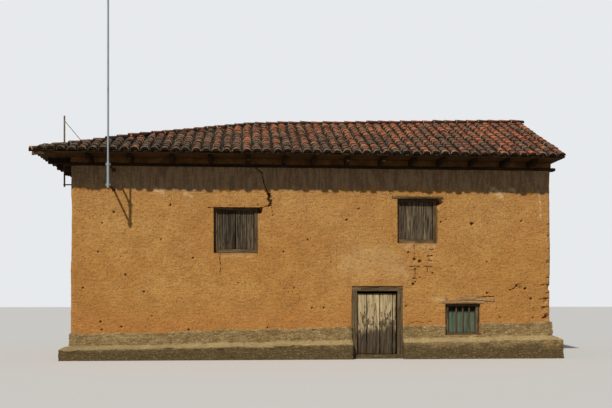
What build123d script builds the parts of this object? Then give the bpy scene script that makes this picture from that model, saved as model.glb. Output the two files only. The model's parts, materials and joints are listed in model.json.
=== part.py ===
from build123d import *
import math
import os

# Two-storey adobe house with a barrel-tiled roof, in millimetres.
# The front looks along -Y, +X runs to the right along the front, +Z is up.
# The origin is the centre of the footprint at the lowest ground level.

os.makedirs("parts", exist_ok=True)

# Footprint and walls
house_length = 13050
house_depth = 5600
upper_wall_thickness = 500
lower_wall_thickness = 600
wall_height = 5170
corner_radius = 90

# Rubble plinth: a rendered band against the wall and a base course that stands out below it
base_projection = 260
band_projection = 35
left_base_height = 300
right_base_height = 560
ledge_rise = 60
left_band_height = 700
right_band_height = 990
band_bevel = 25
plinth_door_gap = 30

# Doorway and its timber frame
door_frame_left = 980
door_frame_right = 2380
door_frame_top = 1980
door_post_width = 145
door_head_height = 135
door_frame_depth = 160
door_frame_setback = 20
door_rebate_width = 20
door_lip_depth = 100
threshold_height = 110
threshold_nosing = 30
lintel_bearing_length = 150

# Door leaf, its ledges and its hinges
leaf_thickness = 35
leaf_side_gap = 6
leaf_latch_gap = 10
leaf_front_gap = 5
leaf_bottom_gap = 10
leaf_top_gap = 10
board_gap = 3
board_shares = (10, 12, 12, 4)
ledge_height = 130
ledge_thickness = 28
ledge_end_setback = 40
ledge_levels = (0.14, 0.5, 0.86)
strap_height = 40
strap_thickness = 6
strap_length = 620
barrel_diameter = 26
barrel_height = 60
hinge_pin_diameter = 14
pin_clearance = 1
pin_setback = 22
pintle_block_height = 16
pintle_block_width = 60
escutcheon_diameter = 60
escutcheon_thickness = 4
escutcheon_level = 0.5
keyhole_diameter = 12

# Windows: left edge, sill, width and height of each opening
window_recess = 140
frame_depth = 90
left_window_x = -2760
left_window_sill = 2860
left_window_width = 1190
left_window_height = 1240
right_window_x = 2230
right_window_sill = 3150
right_window_width = 1120
right_window_height = 1220
back_window_sill = 3000
back_window_width = 1120
back_window_height = 1200
window_post = 95
window_head = 70
window_sill_rail = 110
shutter_thickness = 32
shutter_setback = 18
shutter_split = 6
shutter_leaf_counts = (2, 1)
back_shutter_leaves = 2

# Small barred window on the ground floor
small_window_x = 3560
small_window_sill = 630
small_window_width = 980
small_window_height = 870
small_window_recess = 80
small_window_post = 110
small_window_rail = 70
panel_setback = 100
panel_thickness = 20

# Lintel planks over the windows
lintel_projection = 25
lintel_depth = 180
small_lintel_end_length = 90
small_lintel_height = 70
upper_lintel_end_length = 150
upper_lintel_height = 45

# Floors
ground_floor_thickness = 100
floor_joist_width = 90
floor_joist_height = 150
floor_joist_pitch = 640
floor_board_thickness = 30

# Eaves
plate_height = 80
plate_width = 220
plate_projection = 20
left_plate_end_length = 150
right_plate_end_length = 130
joist_width = 105
joist_height = 150
joist_end_setback = 120
joist_first_inset = 545
joist_last_inset = 635
joist_gaps = (1060, 1090, 1010, 980, 970, 780, 900, 940, 840, 770, 880, 880, 770)
side_joist_count = 6
side_joist_inset = 60
carpentry_joint = 0.5
eave_board_thickness = 30
eave_overhang = 775
verge_overhang = 90
tile_overhang = 45

# Roof
hip_apex_x = -1600
left_ridge_height = 1430
right_ridge_height = 1630
deck_thickness = 50
tile_layer = 110
channel_layer = 45
tile_pitch = 262
tile_roll_width = 190
tile_crown_width = 100
verge_roll_inset = 100
rafter_width = 90
rafter_height = 130
rafter_pitch = 880
rafter_seat = 150
hip_rafter_width = 120
hip_rafter_height = 190
ridge_beam_width = 160
ridge_beam_height = 200
ridge_beam_bearing = 200
ridge_post_width = 140
ridge_post_joists = (5, 8, 11)
cap_width = 230
cap_height = 75
cap_side_gap = 5

# Tall tube mast in front of the eave and its two wall arms, measured from the wall top
mast_from_left_end = 1125
mast_clear_of_wall = 870
mast_sleeve_diameter = 70
mast_diameter = 50
mast_height_over_wall = 4330
mast_foot_depth = 700
mast_sleeve_depth = 40
mast_lower_arm_depth = 630
mast_upper_arm_depth = 110
mast_arm_size = 40
mast_foot_plate = 90
mast_foot_thickness = 8

# Short service mast on the left end wall, measured from the wall top
service_clear_of_wall = 250
service_from_front = 400
service_diameter = 45
service_height_over_wall = 1400
service_foot_depth = 520
service_lower_arm_depth = 460
service_upper_arm_depth = 100
service_arm_size = 30
service_plate = 80
service_plate_thickness = 6
service_hole_clearance = 8
stay_diameter = 16
stay_height_over_wall = 1270
stay_reach = 570

# Places worked out from the sizes above
half_length = house_length / 2
half_depth = house_depth / 2
front_face = -half_depth
inner_front_lower = front_face + lower_wall_thickness
inner_front_upper = front_face + upper_wall_thickness
inner_end = half_length - upper_wall_thickness
storey_level = door_frame_top
plate_top = wall_height + plate_height
joist_top = plate_top + joist_height
eave_level = joist_top + eave_board_thickness
board_edge = half_depth + eave_overhang
roof_run = board_edge
eave_left = half_length + eave_overhang
verge_x = half_length + verge_overhang
apex_z = eave_level + left_ridge_height
mast_x = -half_length + mast_from_left_end
mast_bottom = wall_height - mast_foot_depth
mast_sleeve_top = wall_height - mast_sleeve_depth
mast_top = wall_height + mast_height_over_wall
mast_arm_levels = (wall_height - mast_lower_arm_depth, wall_height - mast_upper_arm_depth)
service_bottom = wall_height - service_foot_depth
service_top = wall_height + service_height_over_wall
service_arm_levels = (wall_height - service_lower_arm_depth,
                      wall_height - service_upper_arm_depth)
stay_top_level = wall_height + stay_height_over_wall
left_run = eave_left + hip_apex_x
left_slope = left_ridge_height / left_run


def span_box(x_range, y_range, z_range, mode=Mode.ADD):
    """A block between two values along each axis, inside the current part."""
    with Locations((x_range[0], y_range[0], z_range[0])):
        return Box(
            x_range[1] - x_range[0],
            y_range[1] - y_range[0],
            z_range[1] - z_range[0],
            align=(Align.MIN, Align.MIN, Align.MIN),
            mode=mode,
        )


def profile_face(points, plane):
    """A flat face with straight sides on a plane, for an extrusion or a loft."""
    with BuildSketch(plane) as sketch:
        with BuildLine():
            Polyline(*points, close=True)
        make_face()
    return sketch.sketch


def plane_at_x(x):
    """Plane across the house at x: its axes are +Y and +Z."""
    return Plane.YZ.offset(x)


def plane_at_y(y):
    """Plane along the house at y: its axes are +X and +Z."""
    return Plane.XZ.offset(-y)


def write(builder, name):
    builder.part.label = name
    export_step(builder.part, f"parts/{name}.step")


# The roof's shape

def ridge_rise(x):
    """Rise of the tile bed from eave to ridge: level left of the hip, growing to the gable."""
    share = max(0, (x - hip_apex_x) / (verge_x - hip_apex_x))
    return left_ridge_height + share * (right_ridge_height - left_ridge_height)


def bed_z(x, y):
    """Height of the tile bed on the front and back slopes."""
    return eave_level + ridge_rise(x) * (roof_run - abs(y)) / roof_run


def left_bed_z(x):
    """Height of the tile bed on the left slope."""
    return eave_level + left_slope * (x + eave_left)


hip_length = math.hypot(left_run, roof_run)
hip_along = Vector(left_run / hip_length, roof_run / hip_length, 0)
hip_across = Vector(hip_along.Y, -hip_along.X, 0)
hip_corner = Vector(-eave_left, -board_edge, 0)
front_hip_plane = Plane(origin=hip_corner, x_dir=hip_along, z_dir=hip_across)
back_hip_plane = Plane(
    origin=(hip_corner.X, -hip_corner.Y, 0),
    x_dir=(hip_along.X, -hip_along.Y, 0),
    z_dir=(hip_across.X, -hip_across.Y, 0),
)


half_joint = carpentry_joint / 2


def front_of_hip(gap=half_joint):
    split(bisect_by=front_hip_plane.offset(gap), keep=Keep.TOP)


def left_of_hips(gap=half_joint):
    split(bisect_by=front_hip_plane.offset(-gap), keep=Keep.BOTTOM)
    split(bisect_by=back_hip_plane.offset(-gap), keep=Keep.BOTTOM)


def hip_y(x):
    """Y of the front hip line at x."""
    return -board_edge + (x + eave_left) * roof_run / left_run


def hip_x(y):
    """X of the hip line at y, the same on both sides."""
    return -eave_left + (board_edge - abs(y)) * left_run / roof_run


# Plinth

def plinth_points(outward, base_height, band_height):
    """Section of the plinth; outward is the sign of the direction away from the wall."""
    return [
        (0, 0),
        (outward * base_projection, 0),
        (outward * base_projection, base_height),
        (outward * band_projection, base_height + ledge_rise),
        (outward * band_projection, band_height - band_bevel),
        (0, band_height),
    ]


def long_plinth(face, outward):
    """Plinth along a long wall, mitred at both corners, made inside the current part."""
    heights = ((-half_length, left_base_height, left_band_height),
               (half_length, right_base_height, right_band_height))
    ends = [profile_face([(face + a, z) for a, z in plinth_points(outward, base, band)],
                         plane_at_x(x)) for x, base, band in heights]
    loft(sections=ends, ruled=True)
    extrude(ends[0], amount=-base_projection)
    extrude(ends[1], amount=base_projection)
    for side in (-1, 1):
        mitre = Plane(origin=(side * half_length, face, 0),
                      x_dir=(side, outward, 0), z_dir=(side, -outward, 0))
        split(bisect_by=mitre, keep=Keep.BOTTOM)


def end_plinth(side, base_height, band_height):
    """Plinth along an end wall, mitred at both corners."""
    points = [(side * half_length + a, z)
              for a, z in plinth_points(side, base_height, band_height)]
    reach = half_depth + base_projection
    extrude(profile_face(points, plane_at_y(-reach)), amount=-2 * reach)
    for outward in (-1, 1):
        mitre = Plane(origin=(side * half_length, outward * half_depth, 0),
                      x_dir=(side, outward, 0), z_dir=(-side, outward, 0))
        split(bisect_by=mitre, keep=Keep.BOTTOM)


with BuildPart() as plinth_front_left:
    long_plinth(front_face, -1)
    door_side = Plane.YZ.offset(door_frame_left - plinth_door_gap)
    split(bisect_by=door_side, keep=Keep.BOTTOM)
write(plinth_front_left, "plinth_front_left")

with BuildPart() as plinth_front_right:
    long_plinth(front_face, -1)
    door_side = Plane.YZ.offset(door_frame_right + plinth_door_gap)
    split(bisect_by=door_side, keep=Keep.TOP)
    span_box((small_window_x, small_window_x + small_window_width),
             (front_face - band_projection, front_face),
             (small_window_sill, small_window_sill + small_window_height), Mode.SUBTRACT)
write(plinth_front_right, "plinth_front_right")

with BuildPart() as plinth_back:
    long_plinth(half_depth, 1)
write(plinth_back, "plinth_back")

with BuildPart() as plinth_left:
    end_plinth(-1, left_base_height, left_band_height)
write(plinth_left, "plinth_left")

with BuildPart() as plinth_right:
    end_plinth(1, right_base_height, right_band_height)
write(plinth_right, "plinth_right")


# Walls

def round_corners(x_values, y):
    """Round the upright outer corners of the current wall at the given places."""
    corners = [edge for edge in edges().filter_by(Axis.Z)
               if abs(edge.center().Y - y) < 1
               and any(abs(edge.center().X - x) < 1 for x in x_values)]
    fillet(corners, corner_radius)


lintel_range_x = (door_frame_left - lintel_bearing_length, door_frame_right + lintel_bearing_length)
lintel_range_y = (front_face + door_frame_setback + door_frame_depth, inner_front_lower)
lintel_range_z = (door_frame_top - door_head_height, door_frame_top)

with BuildPart() as front_wall_lower_left:
    span_box((-half_length, door_frame_left), (front_face, inner_front_lower), (0, storey_level))
    span_box(lintel_range_x, lintel_range_y, lintel_range_z, Mode.SUBTRACT)
    round_corners([-half_length], front_face)
write(front_wall_lower_left, "front_wall_lower_left")

small_window_range_x = (small_window_x, small_window_x + small_window_width)
small_window_range_z = (small_window_sill, small_window_sill + small_window_height)

with BuildPart() as front_wall_lower_right:
    span_box((door_frame_right, half_length), (front_face, inner_front_lower), (0, storey_level))
    span_box(lintel_range_x, lintel_range_y, lintel_range_z, Mode.SUBTRACT)
    span_box(small_window_range_x, (front_face, inner_front_lower), small_window_range_z,
             Mode.SUBTRACT)
    span_box((small_window_x - small_lintel_end_length,
              small_window_x + small_window_width + small_lintel_end_length),
             (front_face, front_face + lintel_depth),
             (small_window_range_z[1], small_window_range_z[1] + small_lintel_height),
             Mode.SUBTRACT)
    round_corners([half_length], front_face)
write(front_wall_lower_right, "front_wall_lower_right")

upper_windows = (
    (left_window_x, left_window_sill, left_window_width, left_window_height),
    (right_window_x, right_window_sill, right_window_width, right_window_height),
)

with BuildPart() as front_wall_upper:
    span_box((-half_length, half_length), (front_face, inner_front_upper),
             (storey_level, wall_height))
    for x, sill, width, height in upper_windows:
        span_box((x, x + width), (front_face, inner_front_upper), (sill, sill + height),
                 Mode.SUBTRACT)
        span_box((x - upper_lintel_end_length, x + width + upper_lintel_end_length),
                 (front_face, front_face + lintel_depth),
                 (sill + height, sill + height + upper_lintel_height), Mode.SUBTRACT)
    round_corners([-half_length, half_length], front_face)
write(front_wall_upper, "front_wall_upper")

with BuildPart() as back_wall_lower:
    span_box((-half_length, half_length), (-inner_front_lower, half_depth), (0, storey_level))
    round_corners([-half_length, half_length], half_depth)
write(back_wall_lower, "back_wall_lower")

back_window_places = (left_window_x, right_window_x)

with BuildPart() as back_wall_upper:
    span_box((-half_length, half_length), (-inner_front_upper, half_depth),
             (storey_level, wall_height))
    for x in back_window_places:
        span_box((x, x + back_window_width), (-inner_front_upper, half_depth),
                 (back_window_sill, back_window_sill + back_window_height), Mode.SUBTRACT)
    round_corners([-half_length, half_length], half_depth)
write(back_wall_upper, "back_wall_upper")

stepped_half = [
    (-inner_front_lower, 0),
    (-inner_front_lower, storey_level),
    (-inner_front_upper, storey_level),
    (-inner_front_upper, wall_height),
]

with BuildPart() as left_wall:
    outline = stepped_half + [(-y, z) for y, z in reversed(stepped_half)]
    extrude(profile_face(outline, plane_at_x(-half_length)), amount=upper_wall_thickness)
write(left_wall, "left_wall")

head_edge = half_depth - plate_width + plate_projection


def gable_points(x):
    """Outline of the gable wall above the wall plates, up to the roof deck, at x."""
    lift = deck_thickness
    return [
        (head_edge, wall_height),
        (head_edge, bed_z(x, head_edge) - lift),
        (0, bed_z(x, 0) - lift),
        (-head_edge, bed_z(x, head_edge) - lift),
        (-head_edge, wall_height),
    ]


def beam_points(x):
    """Section of the ridge beam at x."""
    top = bed_z(x, ridge_beam_width / 2) - deck_thickness - rafter_height
    half = ridge_beam_width / 2
    return [(-half, top - ridge_beam_height), (half, top - ridge_beam_height),
            (half, top), (-half, top)]


beam_left_x = hip_apex_x
beam_right_x = inner_end + ridge_beam_bearing

with BuildPart() as ridge_beam:
    loft(sections=[profile_face(beam_points(x), plane_at_x(x))
                   for x in (beam_left_x, beam_right_x)], ruled=True)
write(ridge_beam, "ridge_beam")

with BuildPart() as right_wall:
    outline = stepped_half + [(-y, z) for y, z in reversed(stepped_half)]
    extrude(profile_face(outline, plane_at_x(inner_end)), amount=upper_wall_thickness)
    loft(sections=[profile_face(gable_points(x), plane_at_x(x))
                   for x in (inner_end, half_length)], ruled=True)
    add(ridge_beam.part, mode=Mode.SUBTRACT)
write(right_wall, "right_wall")

# Floors

with BuildPart() as ground_floor:
    span_box((-inner_end, inner_end), (inner_front_lower, -inner_front_lower),
             (0, ground_floor_thickness))
write(ground_floor, "ground_floor")

floor_joist_count = int((2 * inner_end - floor_joist_pitch) / floor_joist_pitch) + 1

with BuildPart() as upper_floor_joists:
    with Locations((0, 0, storey_level)):
        with GridLocations(floor_joist_pitch, 0, floor_joist_count, 1):
            Box(floor_joist_width, -2 * inner_front_upper, floor_joist_height,
                align=(Align.CENTER, Align.CENTER, Align.MIN))
write(upper_floor_joists, "upper_floor_joists")

upper_floor_bottom = storey_level + floor_joist_height

with BuildPart() as upper_floor_boards:
    span_box((-inner_end, inner_end), (inner_front_upper, -inner_front_upper),
             (upper_floor_bottom, upper_floor_bottom + floor_board_thickness))
write(upper_floor_boards, "upper_floor_boards")

# Wall plates

plate_range_z = (wall_height, plate_top)

left_plate_inner = -half_length - plate_projection + plate_width

with BuildPart() as wall_plates:
    for y_range in ((front_face - plate_projection, -head_edge),
                    (head_edge, half_depth + plate_projection)):
        span_box((-half_length - left_plate_end_length, half_length + right_plate_end_length), y_range,
                 plate_range_z)
    span_box((-half_length - plate_projection, left_plate_inner),
             (-head_edge + carpentry_joint, head_edge - carpentry_joint), plate_range_z)
write(wall_plates, "wall_plates")

# Eave joists, their filling and the boards on them

joist_start = -half_length + joist_first_inset
joist_scale = (house_length - joist_first_inset - joist_last_inset) / sum(joist_gaps)
joist_places = [joist_start + joist_scale * sum(joist_gaps[:i])
                for i in range(len(joist_gaps) + 1)]
joist_reach = board_edge - joist_end_setback

side_joist_end = -eave_left + joist_end_setback
side_joist_root = joist_places[0] - joist_width / 2 - carpentry_joint
side_joist_span = 2 * (head_edge - side_joist_inset) - joist_width
side_joist_pitch = side_joist_span / (side_joist_count - 1)
side_joist_places = [-side_joist_span / 2 + i * side_joist_pitch
                     for i in range(side_joist_count)]

with BuildPart() as eave_joists:
    for x in joist_places:
        span_box((x - joist_width / 2, x + joist_width / 2), (-joist_reach, joist_reach),
                 (plate_top, joist_top))
    for y in side_joist_places:
        span_box((side_joist_end, side_joist_root), (y - joist_width / 2, y + joist_width / 2),
                 (plate_top, joist_top))
write(eave_joists, "eave_joists")

fill_range_z = (plate_top, joist_top)
joist_edges = [x + s * joist_width / 2 for x in joist_places for s in (-1, 1)]
long_fill_edges = [-half_length] + joist_edges + [half_length]
side_fill_edges = [y + s * joist_width / 2 for y in side_joist_places for s in (-1, 1)][1:-1]

with BuildPart() as beam_filling:
    for start, end in zip(long_fill_edges[0::2], long_fill_edges[1::2]):
        span_box((start, end), (front_face, -head_edge), fill_range_z)
        span_box((start, end), (head_edge, half_depth), fill_range_z)
    for start, end in zip(side_fill_edges[0::2], side_fill_edges[1::2]):
        span_box((-half_length, left_plate_inner), (start, end), fill_range_z)
write(beam_filling, "beam_filling")

service_x = -half_length - service_clear_of_wall
service_y = front_face + service_from_front
service_hole_radius = service_diameter / 2 + service_hole_clearance


def service_hole():
    """Hole where the service mast passes up through the left eave."""
    with Locations((service_x, service_y, plate_top)):
        Cylinder(service_hole_radius, apex_z - plate_top,
                 align=(Align.CENTER, Align.CENTER, Align.MIN), mode=Mode.SUBTRACT)


board_range_z = (joist_top, eave_level)

with BuildPart() as left_eave_boards:
    span_box((-eave_left, -inner_end), (-board_edge, board_edge), board_range_z)
    left_of_hips()
    service_hole()

with BuildPart() as eave_boards:
    span_box((-eave_left, verge_x), (-board_edge, inner_front_upper), board_range_z)
    span_box((inner_end, half_length), (-head_edge, inner_front_upper), board_range_z,
             Mode.SUBTRACT)
    front_of_hip()
    mirror(about=Plane.XZ)
    add(left_eave_boards.part)
write(eave_boards, "eave_boards")

# Mud packing between the eave boards and the sloping tiles, with a level seat for the rafters

seat_outer_y = inner_front_upper - rafter_seat
seat_outer_x = -inner_end - rafter_seat


def seat_z(x):
    """Level on which the front and back rafters stand."""
    return bed_z(x, inner_front_upper) - deck_thickness - rafter_height


left_seat_z = left_bed_z(-inner_end) - deck_thickness - rafter_height


def packing_points(x):
    return [
        (-board_edge, eave_level),
        (inner_front_upper, eave_level),
        (inner_front_upper, seat_z(x)),
        (seat_outer_y, seat_z(x)),
        (seat_outer_y, bed_z(x, seat_outer_y)),
    ]


def along_front(points_at, start, end):
    """Body of the front slope between two x values, bent where the hip meets the ridge."""
    middle = max(start, hip_apex_x)
    if start < hip_apex_x:
        extrude(profile_face(points_at(start), plane_at_x(start)), amount=hip_apex_x - start)
    loft(sections=[profile_face(points_at(x), plane_at_x(x)) for x in (middle, end)], ruled=True)


with BuildPart() as left_eave_packing:
    outline = [
        (-eave_left, eave_level),
        (-inner_end, eave_level),
        (-inner_end, left_seat_z),
        (seat_outer_x, left_seat_z),
        (seat_outer_x, left_bed_z(seat_outer_x)),
    ]
    extrude(profile_face(outline, plane_at_y(-board_edge)), amount=-2 * board_edge)
    left_of_hips()
    service_hole()

with BuildPart() as eave_packing:
    along_front(packing_points, -eave_left, half_length)
    span_box((inner_end, half_length), (-head_edge, inner_front_upper), (eave_level, apex_z),
             Mode.SUBTRACT)
    front_of_hip()
    mirror(about=Plane.XZ)
    add(left_eave_packing.part)
write(eave_packing, "eave_packing")

# Roof carpentry


def rafter_top(x, y):
    return bed_z(x, y) - deck_thickness


def rafter_points(x, upper_y):
    """Side outline of a front rafter at x, from its seat to upper_y."""
    points = [
        (seat_outer_y, rafter_top(x, seat_outer_y)),
        (seat_outer_y, seat_z(x)),
        (inner_front_upper, seat_z(x)),
    ]
    if upper_y == -half_joint:
        half = ridge_beam_width / 2
        points += [(-half, rafter_top(x, half) - rafter_height),
                   (upper_y, rafter_top(x, half) - rafter_height)]
    else:
        points.append((upper_y, rafter_top(x, upper_y) - rafter_height))
    points.append((upper_y, rafter_top(x, upper_y)))
    return points


hip_half_along_y = hip_rafter_width / 2 / hip_along.X
hip_half_along_x = hip_rafter_width / 2 / hip_along.Y
rafter_span = inner_end - rafter_width - hip_apex_x - hip_rafter_width
rafter_count = int(rafter_span / rafter_pitch) + 1
rafter_places = [inner_end - rafter_width - i * rafter_pitch for i in range(rafter_count)]
jack_places = [hip_apex_x - (i + 1) * rafter_pitch for i in range(rafter_count)]
jack_least = seat_outer_y + 2 * rafter_seat

def left_rafter_points(y):
    upper_x = hip_x(y) - hip_half_along_x
    top = [left_bed_z(x) - deck_thickness for x in (seat_outer_x, upper_x)]
    return [
        (seat_outer_x, top[0]),
        (seat_outer_x, left_seat_z),
        (-inner_end, left_seat_z),
        (upper_x, top[1] - rafter_height),
        (upper_x, top[1]),
    ]


left_rafter_places = [side * (i + 0.5) * rafter_pitch for i in range(2) for side in (-1, 1)]

with BuildPart() as rafters:
    for x in rafter_places:
        sides = [x + s * rafter_width / 2 for s in (-1, 1)]
        loft(sections=[profile_face(rafter_points(side, -half_joint), plane_at_x(side))
                       for side in sides], ruled=True)
    for x in jack_places:
        sides = [x + s * rafter_width / 2 for s in (-1, 1)]
        if hip_y(sides[0]) - hip_half_along_y > jack_least:
            loft(sections=[profile_face(rafter_points(side, hip_y(side) - hip_half_along_y),
                                        plane_at_x(side)) for side in sides], ruled=True)
    mirror(about=Plane.XZ)
    for y in left_rafter_places:
        sides = [y + s * rafter_width / 2 for s in (-1, 1)]
        loft(sections=[profile_face(left_rafter_points(side), plane_at_y(side))
                       for side in sides], ruled=True)
write(rafters, "rafters")


def plane_across_hip(share):
    """Upright plane across the front hip, part of the way up; its axes are frontward and +Z."""
    place = hip_corner + hip_along * (share * hip_length)
    return Plane(origin=place, x_dir=hip_across, z_dir=-hip_along)


def hip_rafter_section(share):
    """Section of the hip rafter, its back bevelled to both slopes, part of the way up."""
    crown = eave_level + share * left_ridge_height - deck_thickness
    half = hip_rafter_width / 2
    front_fall = half * abs(hip_across.Y) * left_ridge_height / roof_run
    left_fall = half * abs(hip_across.X) * left_slope
    bottom = crown - hip_rafter_height
    points = [(-half, bottom), (half, bottom), (half, crown - front_fall), (0, crown),
              (-half, crown - left_fall)]
    return profile_face(points, plane_across_hip(share))


hip_foot_share = (board_edge + seat_outer_y) / roof_run

with BuildPart() as hip_rafters:
    loft(sections=[hip_rafter_section(hip_foot_share), hip_rafter_section(1)], ruled=True)
    split(bisect_by=Plane.XZ, keep=Keep.TOP)
    split(bisect_by=Plane.YZ.offset(hip_apex_x), keep=Keep.BOTTOM)
    add(eave_packing.part, mode=Mode.SUBTRACT)
    mirror(about=Plane.XZ)
write(hip_rafters, "hip_rafters")

with BuildPart() as ridge_posts:
    for index in ridge_post_joists:
        x = joist_places[index]
        foot = profile_face([(-ridge_post_width / 2, joist_top), (ridge_post_width / 2, joist_top),
                             (ridge_post_width / 2, apex_z + right_ridge_height),
                             (-ridge_post_width / 2, apex_z + right_ridge_height)],
                            plane_at_x(x - joist_width / 2))
        extrude(foot, amount=joist_width)
    top_cut = [[(-ridge_beam_width, beam_points(x)[0][1]), (ridge_beam_width, beam_points(x)[0][1]),
                (ridge_beam_width, 2 * apex_z), (-ridge_beam_width, 2 * apex_z)]
               for x in (hip_apex_x, verge_x)]
    loft(sections=[profile_face(points, plane_at_x(x))
                   for points, x in zip(top_cut, (hip_apex_x, verge_x))],
         ruled=True, mode=Mode.SUBTRACT)
write(ridge_posts, "ridge_posts")


# Roof deck and tiles

def deck_points(x):
    return [
        (seat_outer_y, bed_z(x, seat_outer_y) - deck_thickness),
        (-half_joint, bed_z(x, half_joint) - deck_thickness),
        (-half_joint, bed_z(x, half_joint)),
        (seat_outer_y, bed_z(x, seat_outer_y)),
    ]


def tiled_outline(start, end, centres, bed):
    """Closed outline across a slope: flat bed below, a roll of cover tiles over each centre."""
    points = [(start, bed(start) + channel_layer)]
    for centre in centres:
        for across, rise in (
            (-tile_roll_width / 2, channel_layer),
            (-tile_crown_width / 2, tile_layer),
            (tile_crown_width / 2, tile_layer),
            (tile_roll_width / 2, channel_layer),
        ):
            place = centre + across
            points.append((place, bed(place) + rise))
    points += [(end, bed(end) + channel_layer), (end, bed(end))]
    if start < hip_apex_x < end and bed(start) == bed(hip_apex_x):
        points.append((hip_apex_x, bed(hip_apex_x)))
    points.append((start, bed(start)))
    return points


with BuildPart() as left_deck:
    outline = [
        (seat_outer_x, left_bed_z(seat_outer_x) - deck_thickness),
        (hip_apex_x, left_bed_z(hip_apex_x) - deck_thickness),
        (hip_apex_x, left_bed_z(hip_apex_x)),
        (seat_outer_x, left_bed_z(seat_outer_x)),
    ]
    extrude(profile_face(outline, plane_at_y(-board_edge)), amount=-2 * board_edge)
    left_of_hips()

with BuildPart() as roof_deck:
    along_front(deck_points, -eave_left, verge_x)
    front_of_hip()
    mirror(about=Plane.XZ)
    add(left_deck.part)
write(roof_deck, "roof_deck")

tile_edge_left = -eave_left - tile_overhang
tile_edge_front = -board_edge - tile_overhang
front_roll_span = verge_x - verge_roll_inset - tile_roll_width / 2 - tile_edge_left
front_rolls = [verge_x - verge_roll_inset - i * tile_pitch
               for i in range(int(front_roll_span / tile_pitch) + 1)]
front_rolls.reverse()
left_rolls_a_side = int((-tile_edge_front - tile_roll_width / 2) / tile_pitch)
left_rolls = [i * tile_pitch for i in range(-left_rolls_a_side, left_rolls_a_side + 1)]

under_cap = cap_width / 2 + cap_side_gap


def channel_points(x, start, end):
    """Side outline of the channel layer at x, between two y values."""
    return [
        (start, bed_z(x, start)),
        (end, bed_z(x, end)),
        (end, bed_z(x, end) + channel_layer),
        (start, bed_z(x, start) + channel_layer),
    ]


with BuildPart() as channels_under_ridge:
    along_front(lambda x: channel_points(x, -under_cap, 0), tile_edge_left, verge_x)
    front_of_hip(0)

with BuildPart() as channels_under_hip:
    along_front(lambda x: channel_points(x, tile_edge_front, -under_cap), tile_edge_left,
                hip_apex_x + cap_width)
    front_of_hip(0)
    split(bisect_by=front_hip_plane.offset(under_cap), keep=Keep.BOTTOM)

with BuildPart() as roof_tiles_front:
    loft(sections=[
        profile_face(tiled_outline(tile_edge_left, verge_x, front_rolls,
                                   lambda x: bed_z(x, y)), plane_at_y(y))
        for y in (tile_edge_front, -under_cap)
    ], ruled=True)
    front_of_hip(under_cap)
    add(channels_under_ridge.part)
    add(channels_under_hip.part)
write(roof_tiles_front, "roof_tiles_front")

with BuildPart() as roof_tiles_back:
    mirror(roof_tiles_front.part, about=Plane.XZ)
write(roof_tiles_back, "roof_tiles_back")

with BuildPart() as left_channels:
    outline = [
        (tile_edge_left, left_bed_z(tile_edge_left)),
        (hip_apex_x, left_bed_z(hip_apex_x)),
        (hip_apex_x, left_bed_z(hip_apex_x) + channel_layer),
        (tile_edge_left, left_bed_z(tile_edge_left) + channel_layer),
    ]
    extrude(profile_face(outline, plane_at_y(tile_edge_front)), amount=2 * tile_edge_front)
    left_of_hips(0)

with BuildPart() as roof_tiles_left:
    loft(sections=[
        profile_face(tiled_outline(tile_edge_front, -tile_edge_front, left_rolls,
                                   lambda y: left_bed_z(x)), plane_at_x(x))
        for x in (tile_edge_left, hip_apex_x)
    ], ruled=True)
    left_of_hips(under_cap)
    add(left_channels.part)
    service_hole()
write(roof_tiles_left, "roof_tiles_left")


cap_side = tile_layer - channel_layer


def cap_face(plane, left_foot, crown, right_foot):
    """Section of a cover row: mortar on the channels of two slopes, and a round top."""
    left_shoulder = (left_foot[0], left_foot[1] + cap_side)
    right_shoulder = (right_foot[0], right_foot[1] + cap_side)
    with BuildSketch(plane) as sketch:
        with BuildLine():
            Polyline(left_shoulder, left_foot, crown, right_foot, right_shoulder)
            ThreePointArc(right_shoulder, (crown[0], crown[1] + cap_side + cap_height),
                          left_shoulder)
        make_face()
    return sketch.sketch


def ridge_cap(x):
    half = cap_width / 2
    crown = bed_z(x, 0) + channel_layer
    foot = bed_z(x, half) + channel_layer
    return cap_face(plane_at_x(x), (-half, foot), (0, crown), (half, foot))


def hip_cap(share):
    half = cap_width / 2
    crown = eave_level + share * left_ridge_height + channel_layer
    front_foot = crown - half * abs(hip_across.Y) * left_ridge_height / roof_run
    left_foot = crown - half * abs(hip_across.X) * left_slope
    return cap_face(plane_across_hip(share), (-half, left_foot), (0, crown), (half, front_foot))


with BuildPart() as ridge_tiles:
    loft(sections=[ridge_cap(x) for x in (hip_apex_x, verge_x)], ruled=True)
write(ridge_tiles, "ridge_tiles")

with BuildPart() as hip_tiles:
    loft(sections=[hip_cap(share) for share in (0, 1)], ruled=True)
    split(bisect_by=Plane.XZ, keep=Keep.TOP)
    split(bisect_by=Plane.YZ.offset(hip_apex_x), keep=Keep.BOTTOM)
    mirror(about=Plane.XZ)
write(hip_tiles, "hip_tiles")

# Door frame, threshold and lintel

frame_front = front_face + door_frame_setback
frame_back = frame_front + door_frame_depth
lip_back = frame_front + door_lip_depth
opening_left = door_frame_left + door_post_width
opening_right = door_frame_right - door_post_width
opening_top = door_frame_top - door_head_height

with BuildPart() as door_frame:
    span_box((door_frame_left, door_frame_right), (frame_front, frame_back),
             (threshold_height, door_frame_top))
    span_box((opening_left, opening_right), (frame_front, frame_back),
             (threshold_height, opening_top), Mode.SUBTRACT)
    span_box((opening_left - door_rebate_width, opening_right + door_rebate_width),
             (lip_back, frame_back), (threshold_height, opening_top + door_rebate_width),
             Mode.SUBTRACT)
write(door_frame, "door_frame")

with BuildPart() as door_threshold:
    span_box((door_frame_left, door_frame_right), (front_face - threshold_nosing,
             inner_front_lower), (0, threshold_height))
write(door_threshold, "door_threshold")

# Door leaf

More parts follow.
